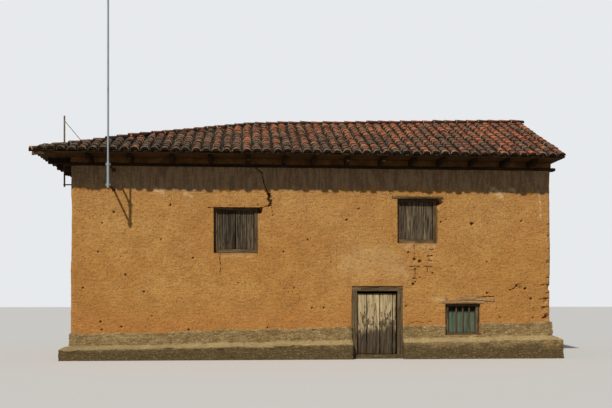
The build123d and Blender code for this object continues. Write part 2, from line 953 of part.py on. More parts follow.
leaf_left = opening_left - door_rebate_width + leaf_side_gap
leaf_right = opening_right + door_rebate_width - leaf_latch_gap
leaf_front = lip_back + leaf_front_gap
leaf_back = leaf_front + leaf_thickness
leaf_bottom = threshold_height + leaf_bottom_gap
leaf_top = opening_top + door_rebate_width - leaf_top_gap - door_rebate_width
ledge_back = leaf_back + ledge_thickness
strap_back = ledge_back + strap_thickness
hinge_x = leaf_left
hinge_y = frame_back + pin_setback
leaf_height = leaf_top - leaf_bottom
board_unit = (leaf_right - leaf_left - board_gap * (len(board_shares) - 1)) / sum(board_shares)

with BuildPart() as door_boards:
    board_x = leaf_left
    for board_share in board_shares:
        board_width = board_share * board_unit
        span_box((board_x, board_x + board_width), (leaf_front, leaf_back),
                 (leaf_bottom, leaf_top))
        board_x += board_width + board_gap
write(door_boards, "door_boards")

with BuildPart() as door_ledges:
    for level in ledge_levels:
        middle = leaf_bottom + level * leaf_height
        span_box((leaf_left + ledge_end_setback, leaf_right - ledge_end_setback),
                 (leaf_back, ledge_back), (middle - ledge_height / 2, middle + ledge_height / 2))
write(door_ledges, "door_ledges")

strap_levels = [leaf_bottom + level * leaf_height for level in (ledge_levels[0], ledge_levels[-1])]
barrel_bore = hinge_pin_diameter / 2 + pin_clearance

with BuildPart() as door_ironwork:
    for middle in strap_levels:
        span_box((hinge_x, hinge_x + strap_length), (ledge_back, strap_back),
                 (middle - strap_height / 2, middle + strap_height / 2))
        with Locations((hinge_x, hinge_y, middle)):
            Cylinder(barrel_diameter / 2, barrel_height)
    for middle in strap_levels:
        with Locations((hinge_x, hinge_y, middle)):
            Cylinder(barrel_bore, barrel_height, mode=Mode.SUBTRACT)
    with BuildSketch(plane_at_y(leaf_front)):
        latch_x = leaf_right - board_shares[-1] * board_unit - escutcheon_diameter
        with Locations((latch_x, leaf_bottom + escutcheon_level * leaf_height)):
            Circle(escutcheon_diameter / 2)
            Circle(keyhole_diameter / 2, mode=Mode.SUBTRACT)
    extrude(amount=escutcheon_thickness)
write(door_ironwork, "door_ironwork")

with BuildPart() as hinge_pintles:
    for middle in strap_levels:
        pin_foot = middle - barrel_height / 2 - pin_clearance
        with Locations((hinge_x, hinge_y, pin_foot)):
            Cylinder(hinge_pin_diameter / 2, barrel_height,
                     align=(Align.CENTER, Align.CENTER, Align.MIN))
        span_box((hinge_x - pintle_block_width, hinge_x + hinge_pin_diameter / 2),
                 (frame_back, hinge_y + hinge_pin_diameter / 2),
                 (pin_foot - pintle_block_height, pin_foot))
write(hinge_pintles, "hinge_pintles")

# Shuttered windows


def window_frame(x, sill, width, height, frame_y):
    """Timber frame of a window, as deep as frame_y gives, in the current part."""
    span_box((x, x + width), frame_y, (sill, sill + height))
    span_box((x + window_post, x + width - window_post), frame_y,
             (sill + window_sill_rail, sill + height - window_head), Mode.SUBTRACT)


def shutter_leaves(x, sill, width, height, leaf_y, leaves):
    """Shutter panels that close a window frame, side by side with a narrow split."""
    left = x + window_post
    clear = width - 2 * window_post
    leaf_width = (clear - shutter_split * (leaves - 1)) / leaves
    for i in range(leaves):
        start = left + i * (leaf_width + shutter_split)
        span_box((start, start + leaf_width), leaf_y,
                 (sill + window_sill_rail, sill + height - window_head))


window_y = (front_face + window_recess, front_face + window_recess + frame_depth)
shutter_y = (window_y[0] + shutter_setback, window_y[0] + shutter_setback + shutter_thickness)

back_windows = [(x, back_window_sill, back_window_width, back_window_height)
                for x in back_window_places]

with BuildPart() as upper_window_frames:
    for place in upper_windows:
        window_frame(*place, window_y)
    for place in back_windows:
        window_frame(*place, (-window_y[1], -window_y[0]))
write(upper_window_frames, "upper_window_frames")

with BuildPart() as upper_window_shutters:
    for place, leaves in zip(upper_windows, shutter_leaf_counts):
        shutter_leaves(*place, shutter_y, leaves)
    for place in back_windows:
        shutter_leaves(*place, (-shutter_y[1], -shutter_y[0]), back_shutter_leaves)
write(upper_window_shutters, "upper_window_shutters")

with BuildPart() as lintels:
    span_box(lintel_range_x, lintel_range_y, lintel_range_z)
    for x, sill, width, height in upper_windows:
        span_box((x - upper_lintel_end_length, x + width + upper_lintel_end_length),
                 (front_face - lintel_projection, front_face + lintel_depth),
                 (sill + height, sill + height + upper_lintel_height))
    span_box((small_window_x - small_lintel_end_length,
              small_window_x + small_window_width + small_lintel_end_length),
             (front_face - lintel_projection, front_face + lintel_depth),
             (small_window_range_z[1], small_window_range_z[1] + small_lintel_height))
write(lintels, "lintels")

# Small window with its bars and the panel behind them

small_frame_y = (front_face + small_window_recess,
                 front_face + small_window_recess + frame_depth + panel_setback)
small_clear_x = (small_window_x + small_window_post,
                 small_window_x + small_window_width - small_window_post)
small_clear_z = (small_window_sill + small_window_rail,
                 small_window_sill + small_window_height - small_window_rail)
panel_y = (small_frame_y[0] + panel_setback, small_frame_y[0] + panel_setback + panel_thickness)

with BuildPart() as small_window_frame:
    span_box(small_window_range_x, small_frame_y, small_window_range_z)
    span_box(small_clear_x, small_frame_y, small_clear_z, Mode.SUBTRACT)
write(small_window_frame, "small_window_frame")

with BuildPart() as small_window_panel:
    span_box(small_clear_x, panel_y, small_clear_z)
write(small_window_panel, "small_window_panel")

# Tall mast

mast_y = front_face - mast_clear_of_wall

with BuildPart() as mast:
    with Locations((mast_x, mast_y, mast_bottom)):
        Cylinder(mast_sleeve_diameter / 2, mast_sleeve_top - mast_bottom,
                 align=(Align.CENTER, Align.CENTER, Align.MIN))
        Cylinder(mast_diameter / 2, mast_top - mast_bottom,
                 align=(Align.CENTER, Align.CENTER, Align.MIN))
write(mast, "mast")

# Service mast

with BuildPart() as service_mast:
    with Locations((service_x, service_y, service_bottom)):
        Cylinder(service_diameter / 2, service_top - service_bottom,
                 align=(Align.CENTER, Align.CENTER, Align.MIN))
write(service_mast, "service_mast")

# Wall arms of both masts, and the stay from the service mast to the roof

stay_foot_x = service_x + stay_reach
stay_foot_z = left_bed_z(stay_foot_x) + channel_layer
stay_top = Vector(service_x, service_y, stay_top_level)
stay_run = Vector(stay_foot_x, service_y, stay_foot_z) - stay_top

with BuildPart() as mast_brackets:
    for level in mast_arm_levels:
        span_box((mast_x - mast_arm_size / 2, mast_x + mast_arm_size / 2),
                 (mast_y, front_face - mast_foot_thickness),
                 (level - mast_arm_size / 2, level + mast_arm_size / 2))
        span_box((mast_x - mast_foot_plate / 2, mast_x + mast_foot_plate / 2),
                 (front_face - mast_foot_thickness, front_face),
                 (level - mast_foot_plate / 2, level + mast_foot_plate / 2))
    for level in service_arm_levels:
        span_box((service_x, -half_length - service_plate_thickness),
                 (service_y - service_arm_size / 2, service_y + service_arm_size / 2),
                 (level - service_arm_size / 2, level + service_arm_size / 2))
        span_box((-half_length - service_plate_thickness, -half_length),
                 (service_y - service_plate / 2, service_y + service_plate / 2),
                 (level - service_plate / 2, level + service_plate / 2))
    with BuildSketch(Plane(origin=stay_top, z_dir=stay_run)):
        Circle(stay_diameter / 2)
    extrude(amount=stay_run.length)
    add(mast.part, mode=Mode.SUBTRACT)
    add(service_mast.part, mode=Mode.SUBTRACT)
    add(roof_tiles_left.part, mode=Mode.SUBTRACT)
write(mast_brackets, "mast_brackets")
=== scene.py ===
# %% [markdown]
# # Dressing an adobe house
#
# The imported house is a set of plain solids. Here each one gets the surface of the real
# building: mud render over adobe, rubble and lime at the foot, hand-made roof tiles, and
# timber that has stood in the sun for a century. The solids fix every size and place.
# This script only adds what the hand and the weather did.

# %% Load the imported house
import json
import math
import random
from collections import namedtuple
from contextlib import contextmanager

import bmesh
import bpy
import numpy as np
from mathutils import Matrix, Vector, noise


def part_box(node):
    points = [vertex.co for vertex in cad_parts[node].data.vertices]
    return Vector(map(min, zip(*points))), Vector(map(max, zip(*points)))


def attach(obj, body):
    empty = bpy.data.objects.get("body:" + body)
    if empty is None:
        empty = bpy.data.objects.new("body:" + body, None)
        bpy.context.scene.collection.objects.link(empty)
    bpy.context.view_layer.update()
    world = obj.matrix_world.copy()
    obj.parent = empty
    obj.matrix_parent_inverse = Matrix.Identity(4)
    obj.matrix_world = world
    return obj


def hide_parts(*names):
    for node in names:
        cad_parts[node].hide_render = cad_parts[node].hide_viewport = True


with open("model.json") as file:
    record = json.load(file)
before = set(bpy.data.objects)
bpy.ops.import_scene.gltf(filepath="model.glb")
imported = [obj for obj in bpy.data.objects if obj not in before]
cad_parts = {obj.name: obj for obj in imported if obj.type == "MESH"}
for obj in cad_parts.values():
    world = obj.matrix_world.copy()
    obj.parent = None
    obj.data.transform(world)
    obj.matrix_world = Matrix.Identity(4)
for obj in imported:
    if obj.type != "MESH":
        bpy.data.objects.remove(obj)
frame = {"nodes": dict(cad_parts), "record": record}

random.seed(19)
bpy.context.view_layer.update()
nodes = frame["nodes"]


# %% [markdown]
# ## Helpers
#
# Three things happen to almost every piece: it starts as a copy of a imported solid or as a
# primitive, it is cut finer so that there are points to move, and its points are pushed
# about by smooth noise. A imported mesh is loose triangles, so a copy is merged before it is
# shaped. Noise is read at each point's place in the house, so two pieces that meet are
# pushed alike and their seam stays shut.

# %% Picking and editing
MERGE_WITHIN = 0.0002
ALMOST_FLAT = math.radians(0.5)


def pick(*objects):
    """Select only these objects and make the first one active."""
    bpy.ops.object.select_all(action="DESELECT")
    for each in objects:
        each.select_set(True)
    bpy.context.view_layer.objects.active = objects[0]


def discard(*pieces):
    pick(*pieces)
    bpy.ops.object.delete()


def join(name, pieces):
    pick(*pieces)
    bpy.ops.object.join()
    bpy.context.object.name = name
    return bpy.context.object


@contextmanager
def edit_mode(piece):
    """Edit mode with all of a piece selected."""
    pick(piece)
    bpy.ops.object.mode_set(mode="EDIT")
    bpy.ops.mesh.select_all(action="SELECT")
    yield
    bpy.ops.object.mode_set(mode="OBJECT")


def new_shape(add, scale=(1, 1, 1), **settings):
    """Add a primitive with one of the add operators and apply its turn, place and scale."""
    bpy.ops.object.select_all(action="DESELECT")
    add(**settings)
    made = bpy.context.object
    made.scale = scale
    bpy.ops.object.transform_apply()
    return made


def new_box(middle, size):
    return new_shape(bpy.ops.mesh.primitive_cube_add, size, size=1.0, location=middle)


def solid_copy(name, *node_names):
    """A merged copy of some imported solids, as one object."""
    copies = []
    for node_name in node_names:
        twin = bpy.data.objects.new(name, nodes[node_name].data.copy())
        bpy.context.scene.collection.objects.link(twin)
        twin.data.materials.clear()
        copies.append(twin)
    made = join(name, copies) if len(copies) > 1 else copies[0]
    with edit_mode(made):
        bpy.ops.mesh.remove_doubles(threshold=MERGE_WITHIN)
        bpy.ops.mesh.dissolve_limited(angle_limit=ALMOST_FLAT)
    return made


def use_modifier(piece, kind, **settings):
    """Add a modifier with these settings and apply it."""
    pick(piece)
    added = piece.modifiers.new(kind.lower(), kind)
    for key, value in settings.items():
        setattr(added, key, value)
    bpy.ops.object.modifier_apply(modifier=added.name)


def cut_in_steps(piece, axis, step, wanted=lambda face: True):
    """Slice the faces that wanted() picks into strips of about this width along an axis."""
    low = min(v.co[axis] for v in piece.data.vertices)
    high = max(v.co[axis] for v in piece.data.vertices)
    count = max(1, round((high - low) / step))
    normal = [float(k == axis) for k in range(3)]
    shape = bmesh.new()
    shape.from_mesh(piece.data)
    for i in range(1, count):
        place = [0, 0, 0]
        place[axis] = low + (high - low) * i / count
        chosen = [f for f in shape.faces if wanted(f)]
        around = {e for f in chosen for e in f.edges} | {v for f in chosen for v in f.verts}
        bmesh.ops.bisect_plane(shape, geom=chosen + list(around), dist=1e-5,
                               plane_co=place, plane_no=normal)
    shape.to_mesh(piece.data)
    shape.free()


# %% Points, numbers and noise
def points_of(piece):
    """Places of a piece's points as an array."""
    flat = np.empty(len(piece.data.vertices) * 3)
    piece.data.vertices.foreach_get("co", flat)
    return flat.reshape(-1, 3)


def move_points(piece, places):
    piece.data.vertices.foreach_set("co", np.ascontiguousarray(places, float).ravel())
    piece.data.update()


def normals_of(piece):
    flat = np.empty(len(piece.data.vertices) * 3, np.float32)
    piece.data.vertices.foreach_get("normal", flat)
    return flat.reshape(-1, 3).astype(float)


def write_numbers(mesh, name, values, domain="POINT"):
    """Store one number for each point or face of a mesh, for its finish to read."""
    layer = mesh.attributes.new(name, "FLOAT", domain)
    layer.data.foreach_set("value", np.asarray(values, np.float32))


def share_of(value, reach):
    """How far a value has come on its way from nothing to reach, from 0 to 1."""
    return np.clip(value / reach, 0, 1)


def rough(places, scale, seed=0.0, octaves=3):
    """Smooth noise from about -1 to 1 at each place; scale is the bump size in metres."""
    shift = Vector((seed, seed * 0.37, -seed * 0.71))
    return np.array([noise.fractal(Vector(p) / scale + shift, 1.0, 2.0, octaves)
                     for p in places])


def jitter(amount):
    return random.uniform(-amount, amount)


def smooth_shade(piece, angle=40):
    pick(piece)
    bpy.ops.object.shade_smooth_by_angle(angle=math.radians(angle))


def dress(piece, material, slot_name, body="house", stands_for=()):
    """Give a finished piece its material, its body and the solids it stands for."""
    piece.data.materials.clear()
    piece.data.materials.append(material)
    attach(piece, body)
    if stands_for:
        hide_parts(*stands_for)
    triangles = sum(len(p.vertices) - 2 for p in piece.data.polygons)
    print(piece.name, triangles, "triangles")


# %% Material tools
def is_output(value):
    return isinstance(value, bpy.types.NodeSocket)


def feed(socket, value):
    """Link another node's output to an input, or set the input to a value."""
    if is_output(value):
        socket.id_data.links.new(value, socket)
    else:
        socket.default_value = value


def add_node(tree, kind, inputs=None, **settings):
    made = tree.nodes.new(kind)
    for key, value in settings.items():
        setattr(made, key, value)
    for key, value in (inputs or {}).items():
        feed(made.inputs[key], value)
    return made


def as_colour(value):
    """An output or a shader's four values as they are, or 0 to 255 turned into such values."""
    if is_output(value) or len(value) == 4:
        return value
    shares = (part / 255 for part in value)
    return (*(s / 12.92 if s <= 0.04045 else ((s + 0.055) / 1.055) ** 2.4 for s in shares), 1.0)


def blend(amount, first, second):
    """Mix two colours by an amount that is an output from 0 to 1."""
    return add_node(amount.id_data, "ShaderNodeMix",
                    {0: amount, 6: as_colour(first), 7: as_colour(second)},
                    data_type="RGBA").outputs[2]


def layered(colour, *layers):
    """Lay colours over the first one in turn, each by an amount."""
    for amount, over in layers:
        colour = blend(amount, colour, over)
    return colour


def maths(operation, first, second=0.5):
    tree = (first if is_output(first) else second).id_data
    return add_node(tree, "ShaderNodeMath", {0: first, 1: second}, operation=operation).outputs[0]


def times(first, second):
    return maths("MULTIPLY", first, second)


def plus(first, second):
    return maths("ADD", first, second)


def minus(first, second):
    return maths("SUBTRACT", first, second)


def ramp(value, low, high, from_value=0.0, to_value=1.0):
    """Map a value from one range to another and hold it at the ends."""
    return add_node(value.id_data, "ShaderNodeMapRange",
                    {0: value, 1: low, 2: high, 3: from_value, 4: to_value},
                    interpolation_type="SMOOTHSTEP").outputs[0]


def noise_at(where, scale, detail=4.0, roughness=0.55, distortion=0.0):
    return add_node(where.id_data, "ShaderNodeTexNoise",
                    {"Vector": where, "Scale": scale, "Detail": detail,
                     "Roughness": roughness, "Distortion": distortion}).outputs["Fac"]


def stretched(where, *scale):
    """Coordinates stretched along the axes, for grain and streaks."""
    return add_node(where.id_data, "ShaderNodeMapping",
                    {"Vector": where, "Scale": scale}).outputs[0]


def attribute(where, name, output="Fac"):
    return add_node(where.id_data, "ShaderNodeAttribute", attribute_name=name).outputs[output]


def axis_value(where, axis):
    return add_node(where.id_data, "ShaderNodeSeparateXYZ", {0: where}).outputs[axis]


def new_material(name, roughness=0.9, specular=0.25):
    """A material with its shader and its object coordinates."""
    made = bpy.data.materials.new(name)
    made.use_nodes = True
    shader = made.node_tree.nodes["Principled BSDF"]
    shader.inputs["Roughness"].default_value = roughness
    shader.inputs["Specular IOR Level"].default_value = specular
    where = add_node(made.node_tree, "ShaderNodeTexCoord").outputs["Object"]
    return made, shader, where


def finish_shader(shader, colour, *bumps):
    """Give a shader its colour and its bumps, each a height, a distance and a strength."""
    feed(shader.inputs["Base Color"], colour)
    before = {}
    for height, distance, strength in bumps:
        inputs = {"Height": height, "Distance": distance, "Strength": strength, **before}
        bump = add_node(shader.id_data, "ShaderNodeBump", inputs)
        before = {"Normal": bump.outputs["Normal"]}
    if before:
        feed(shader.inputs["Normal"], before["Normal"])


# %% [markdown]
# ## Floor, light and camera
#
# The house stands on a plain floor, pale to the eye, that throws back only as much light as
# a road would, so that what lies under the eaves stays dark. One broad sun from the upper
# left throws the eave's shadow on the wall, and a pale sky fills the rest. The camera
# stands low and level across the road, so the verticals stay upright. The horizon lies
# below the middle of the picture: the lens is shifted up, not tilted.

# %% Floor and sky
FLOOR_HALF = 160.0
FLOOR_SEEN = (0.66, 0.65, 0.63, 1.0)
FLOOR_BOUNCE = (0.21, 0.185, 0.155, 1.0)
SKY_SEEN = (0.80, 0.82, 0.84, 1.0)
SKY_COLOUR = (0.80, 0.88, 1.0, 1.0)
SKY_FILL = 0.25

floor = new_shape(bpy.ops.mesh.primitive_plane_add, size=2 * FLOOR_HALF)
floor.name = "studio_floor"
floor_finish, shader, where = new_material("studio_floor", 0.9, 0.5)
seen = add_node(shader.id_data, "ShaderNodeLightPath").outputs["Is Camera Ray"]
finish_shader(shader, blend(seen, FLOOR_BOUNCE, FLOOR_SEEN))
floor.data.materials.append(floor_finish)

world = bpy.data.worlds.new("pale_sky")
bpy.context.scene.world = world
world.use_nodes = True
sky_light = world.node_tree.nodes["Background"]
sky_light.inputs["Color"].default_value = SKY_COLOUR
sky_light.inputs["Strength"].default_value = SKY_FILL
backdrop = add_node(world.node_tree, "ShaderNodeBackground", {"Color": SKY_SEEN, "Strength": 1.0})
seen = add_node(world.node_tree, "ShaderNodeLightPath").outputs["Is Camera Ray"]
sky = add_node(world.node_tree, "ShaderNodeMixShader",
               {0: seen, 1: sky_light.outputs[0], 2: backdrop.outputs[0]})
feed(world.node_tree.nodes["World Output"].inputs["Surface"], sky.outputs[0])
print("floor", 2 * FLOOR_HALF, "m, sky", SKY_FILL)

# %% Sun
SUN_STRENGTH = 3.25
SUN_SOFTNESS = math.radians(1.6)
SUN_TRAVEL = Vector((0.50, 1.0, -1.07))

bpy.ops.object.light_add(type="SUN", location=(-8, -16, 17))
sun = bpy.context.object
sun.name = "sun"
sun.data.energy = SUN_STRENGTH
sun.data.angle = SUN_SOFTNESS
sun.data.color = (1.0, 0.96, 0.89)
sun.rotation_euler = SUN_TRAVEL.to_track_quat("-Z", "Y").to_euler()
print("sun", SUN_STRENGTH)

# %% Camera
PHOTO_WIDTH = 612
PHOTO_HEIGHT = 408
FOCAL_PIXELS = 800
HORIZON_BELOW_MIDDLE = 96
SENSOR_WIDTH = 36.0
CAMERA_X = -1.865
CAMERA_FROM_WALL = 21.6
CAMERA_HEIGHT = 1.6
CAMERA_TURN = math.radians(4.22)
CLIP_END = 500

wall_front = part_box("front_wall_upper")[0].y
bpy.ops.object.camera_add(
    location=(CAMERA_X, wall_front - CAMERA_FROM_WALL, CAMERA_HEIGHT),
    rotation=(math.radians(90), 0, -CAMERA_TURN),
)
camera = bpy.context.object
camera.name = "road_camera"
camera.data.sensor_width = SENSOR_WIDTH
camera.data.lens = FOCAL_PIXELS * SENSOR_WIDTH / PHOTO_WIDTH
camera.data.shift_y = HORIZON_BELOW_MIDDLE / PHOTO_WIDTH
camera.data.clip_end = CLIP_END
bpy.context.scene.camera = camera
bpy.context.scene.view_settings.view_transform = "Standard"
print("lens", round(camera.data.lens, 2), "mm, shift", round(camera.data.shift_y, 4))

# %% [markdown]
# ## Finishes
#
# Everything on this house is matt and old. Mud render is a warm ochre with pale washed
# places, redder damp earth lower down, chopped straw and grit. Timber is dark brown where
# it is sheltered and silver grey where the sun reaches it. Tiles run from orange clay to
# grey-brown lichen. Three effects turn up in several finishes: mottling, timber grain and
# grit. Each is a node group from a place and one number, so a finish only says how much it
# wants. A finish is then a list of colours laid over one another.

# %% Mottling, grain and grit as node groups
def new_group(name, number, *results):
    """A node group from a place and one number to some shares from 0 to 1."""
    group = bpy.data.node_groups.new(name, "ShaderNodeTree")
    for label, side, kind in (("Where", "INPUT", "Vector"), (number, "INPUT", "Float"),
                              *((result, "OUTPUT", "Float") for result in results)):
        group.interface.new_socket(name=label, in_out=side, socket_type="NodeSocket" + kind)
    given = group.nodes.new("NodeGroupInput").outputs
    return group, given[0], given[1], group.nodes.new("NodeGroupOutput").inputs


def use_group(group, where, number):
    """Put a node group in a material, at these coordinates and with this number."""
    made = add_node(where.id_data, "ShaderNodeGroup", node_tree=group)
    feed(made.inputs[0], where)
    feed(made.inputs[1], number)
    return made.outputs


mottling, place, size, result = new_group("mottling", "Size", "Broad", "Fine")
scale = maths("DIVIDE", 1.0, size)
feed(result["Broad"], ramp(noise_at(place, scale, 5.0, 0.6, 0.4), 0.36, 0.64))
feed(result["Fine"], ramp(noise_at(place, times(scale, 9.0), 4.0, 0.65), 0.34, 0.66))

grain, along, tight, result = new_group("timber_grain", "Tightness", "Lines", "Splits", "Weather")
feed(result["Lines"], ramp(noise_at(along, tight, 5.0, 0.65, 0.25), 0.3, 0.7))
split_gap = maths("ABSOLUTE", minus(noise_at(along, times(tight, 0.45), 2.0, 0.5), 0.5))
feed(result["Splits"], ramp(split_gap, 0.0, 0.02, 1.0, 0.0))
feed(result["Weather"], ramp(noise_at(along, times(tight, 0.09)), 0.35, 0.65))

grit, place, scale, result = new_group("grit", "Scale", "Grains", "Pits", "Straw")
feed(result["Grains"], noise_at(place, scale, 5.0, 0.7))
pit_cells = add_node(grit, "ShaderNodeTexVoronoi", {"Vector": place, "Scale": times(scale, 0.2)})
feed(result["Pits"], ramp(pit_cells.outputs["Distance"], 0.10, 0.22, 1.0, 0.0))
chaff = noise_at(stretched(place, 0.35, 1.0, 1.0), times(scale, 1.1), 1.0, 0.5, 1.4)
feed(result["Straw"], ramp(chaff, 0.66, 0.72))
print("groups", [g.name for g in (mottling, grain, grit)])

# %% [markdown]
# ## Mud render
#
# The mud is one material for all four walls, so it reads the height above the ground and
# nothing else about the wall. Near the foot the render is redder and rougher. At the top,
# in the eave's shadow, it is greyer: partly where rain has run off the eaves, partly painted
# shade. Noise at three sizes gives what the weather did, and it never runs out at a corner.
# One attribute marks the places where the coat is gone. There the duller earth of the bricks
# shows, and where the number is high, in deep holes, cracks and hollows, it paints shade
# almost black. Another, pale, marks the places that have dried or washed pale.

# %% Mud render material
mud, shader, where = new_material("mud_render", 0.95)
patches = use_group(mottling, where, 2.6)
blotches = use_group(mottling, where, 0.55)
sand = use_group(grit, where, 70.0)
level = axis_value(where, 2)
trowelled = noise_at(stretched(where, 1.0, 1.0, 3.4), 5.0, 6.0, 0.72)
run_down = noise_at(stretched(where, 1.0, 1.0, 0.16), 13.0, 5.0, 0.66)
damp = ramp(plus(level, times(blotches["Broad"], 0.5)), 1.1, 2.1, 0.40, 0.0)
# Greyer band under the eaves: partly rain run-off, partly painted shade of the eave.
eave_stain_and_shade = ramp(plus(level, times(patches["Fine"], 0.16)), 4.58, 4.76, 0.0, 0.85)
not_gable = ramp(axis_value(where, 0), 6.36, 6.46, 1.0, 0.0)
stained = ramp(plus(run_down, times(blotches["Fine"], 0.12)), 0.46, 0.66)
bare_and_hollow_shade = attribute(where, "wear_and_hollow_shade")
finish_shader(
    shader,
    layered(blend(patches["Broad"], (200, 144, 73), (211, 161, 90)),
            (times(blotches["Broad"], 0.65), (183, 126, 62)),
            (damp, (197, 124, 60)),
            (times(ramp(level, 2.2, 4.6), 0.22), (206, 163, 105)),
            (ramp(trowelled, 0.50, 0.66, 0.0, 0.50), (158, 102, 46)),
            (ramp(run_down, 0.52, 0.72, 0.0, 0.34), (214, 170, 112)),
            (times(blotches["Fine"], 0.45), (160, 108, 55)),
            (times(sand["Straw"], 0.75), (228, 194, 136)),
            (times(sand["Pits"], 0.75), (100, 62, 30)),
            (times(eave_stain_and_shade, not_gable), blend(stained, (140, 116, 88), (178, 152, 120))),
            (ramp(bare_and_hollow_shade, 0.05, 0.6, 0.0, 0.75), (150, 108, 60)),
            # Painted shade: deep holes, cracks and hollows, where the number is high, go almost
            # black.
            (ramp(bare_and_hollow_shade, 0.40, 0.80, 0.0, 0.85), (58, 39, 23)),
            (ramp(level, 0.66, 0.70, 0.9, 0.0), (150, 124, 82)),
            (attribute(where, "pale"), (226, 192, 142))),
    (plus(noise_at(where, 9.0, 5.0, 0.62), trowelled), 0.03, 0.85),
    (minus(sand["Grains"], times(sand["Pits"], 0.6)), 0.016, 0.95))
print("material", mud.name)

# %% Packed mud, bedding with painted shade between the tiles, and dry mud between the joists
packed, shader, where = new_material("packed_mud", 0.96)
blotches = use_group(mottling, where, 0.3)
finish_shader(shader, layered(blend(blotches["Broad"], (96, 72, 46), (126, 98, 64)),
                              (times(blotches["Fine"], 0.5), (62, 46, 30))),
              (use_group(grit, where, 80.0)["Grains"], 0.02, 0.8))

# Near-black bedding: painted shade in the gaps between the tiles.
gap_shade_bedding, shader, where = new_material("bedding_painted_gap_shade", 0.98)
finish_shader(shader, blend(use_group(mottling, where, 0.12)["Broad"], (30, 25, 18), (56, 48, 32)))

filling, shader, where = new_material("eave_filling", 0.95)
blotches = use_group(mottling, where, 0.35)
finish_shader(shader, layered(blend(blotches["Broad"], (150, 108, 60), (110, 76, 42)),
                              (times(blotches["Fine"], 0.5), (84, 56, 32))))
print("materials", packed.name, gap_shade_bedding.name, filling.name)

# %% [markdown]
# ## Rubble plinth
#
# The foot of the wall is rubble in lime, patched with paler mortar. Its upright lower face
# is painted darker towards the bottom, as shade at the foot, and the top of its ledge is
# painted pale tan, as a highlight. The stones show faintly through the render.

# %% Plinth material
rubble, shader, where = new_material("rubble_plinth", 0.96)
blotches = use_group(mottling, where, 0.4)
stones = add_node(where.id_data, "ShaderNodeTexVoronoi",
                  {"Vector": stretched(where, 7.0, 7.0, 11.0), "Scale": 1.0, "Randomness": 1.0},
                  feature="DISTANCE_TO_EDGE")
joints = ramp(stones.outputs["Distance"], 0.0, 0.09, 1.0, 0.0)
# Darker towards the bottom: painted shade at the foot of the wall.
foot_shade = ramp(plus(axis_value(where, 2), times(blotches["Broad"], 0.16)), 0.34, 0.54, 0.9, 0.0)
layers = noise_at(stretched(where, 1.0, 1.0, 5.5), 4.2, 6.0, 0.7)
chips = noise_at(stretched(where, 1.0, 1.0, 2.2), 15.0, 4.0, 0.66)
stains = noise_at(stretched(where, 1.0, 1.0, 0.5), 5.0, 5.0, 0.65)
finish_shader(
    shader,
    layered(blend(blotches["Broad"], (188, 160, 110), (158, 130, 84)),
            (foot_shade, (100, 82, 50)),
            (times(joints, 0.10), (98, 80, 52)),
            (times(blotches["Fine"], 0.5), (128, 106, 68)),
            (ramp(layers, 0.50, 0.62, 0.0, 0.55), (112, 90, 54)),
            (ramp(layers, 0.30, 0.42, 0.55, 0.0), (206, 180, 128)),
            (ramp(chips, 0.55, 0.64, 0.0, 0.60), (210, 188, 138)),
            (ramp(chips, 0.34, 0.44, 0.60, 0.0), (84, 68, 42)),
            (ramp(stains, 0.54, 0.68, 0.0, 0.45), (86, 68, 40)),
            (times(foot_shade, 0.38), (78, 63, 38)),
            # Painted highlight on the upward faces of the ledge.
            (times(attribute(where, "ledge"), 0.45), (196, 172, 122))),
    (joints, -0.010, 0.8), (layers, -0.05, 0.9),
    (use_group(grit, where, 60.0)["Grains"], 0.02, 0.9))
print("material", rubble.name)

# %% [markdown]
# ## Clay tiles
#
# Each tile carries a number of its own, its tone, and a second one for how much lichen has
# settled on it. The first picks a clay from dark red to orange, the second turns it grey
# brown. Lichen grows more on the hipped end and along the eave, so the numbers are chosen
# when the tiles are laid, and the shader only reads them. The channels get a much higher
# second number, which turns them near black: painted shade in the gaps between covers. Two
# more numbers say where a point lies on its tile: shade is painted dark where the next tile
# laps it and low on its flanks, and its lower rim is worn pale.

# %% Clay tile material
clay, shader, where = new_material("old_clay_tile", 0.92)
tone, lichen_shade_amount, down, crown = (attribute(where, each) for each in ("tone", "lichen", "down", "crown"))
blotches = use_group(mottling, where, 0.12)
sand = use_group(grit, where, 110.0)
spread = plus(lichen_shade_amount, times(minus(blotches["Broad"], 0.5), 0.7))
specks = noise_at(where, 42.0, 3.0, 0.6)
speckled = times(ramp(specks, 0.58, 0.68), ramp(lichen_shade_amount, 0.2, 0.9))
rim = times(ramp(plus(down, times(specks, 0.08)), 0.980, 1.020),
            ramp(blotches["Broad"], 0.2, 0.8, 0.08, 0.85))
rim = times(rim, ramp(lichen_shade_amount, 0.3, 1.0, 1.0, 0.5))
finish_shader(
    shader,
    layered(blend(tone, (90, 50, 35), (208, 114, 72)),
            (times(blotches["Fine"], 0.4), (104, 56, 38)),
            (ramp(spread, 0.35, 0.80), (90, 75, 61)),
            # Near black at high numbers: dense lichen on covers, painted shade on the channels.
            (ramp(spread, 0.95, 1.40), (42, 36, 29)),
            (times(speckled, 0.75), (164, 154, 134)),
            # Painted shade: dark where the next tile laps over, and low on the tile's flanks.
            (ramp(down, 0.31, 0.52, 0.97, 0.0), (29, 21, 16)),
            (ramp(crown, 0.30, 0.88, 0.95, 0.0), (24, 18, 14)),
            (rim, blend(tone, (184, 168, 140), (222, 172, 128)))),
    (plus(sand["Grains"], blotches["Broad"]), 0.006, 0.7))
print("material", clay.name)

# %% [markdown]
# ## Timber and boards
#
# Grain runs along the piece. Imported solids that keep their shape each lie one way, so their
# finish squeezes the pattern along that axis. They differ only in direction and colour.

# %% Timber materials
SQUEEZE = 0.05
SPLIT_DARK = (30, 22, 15)


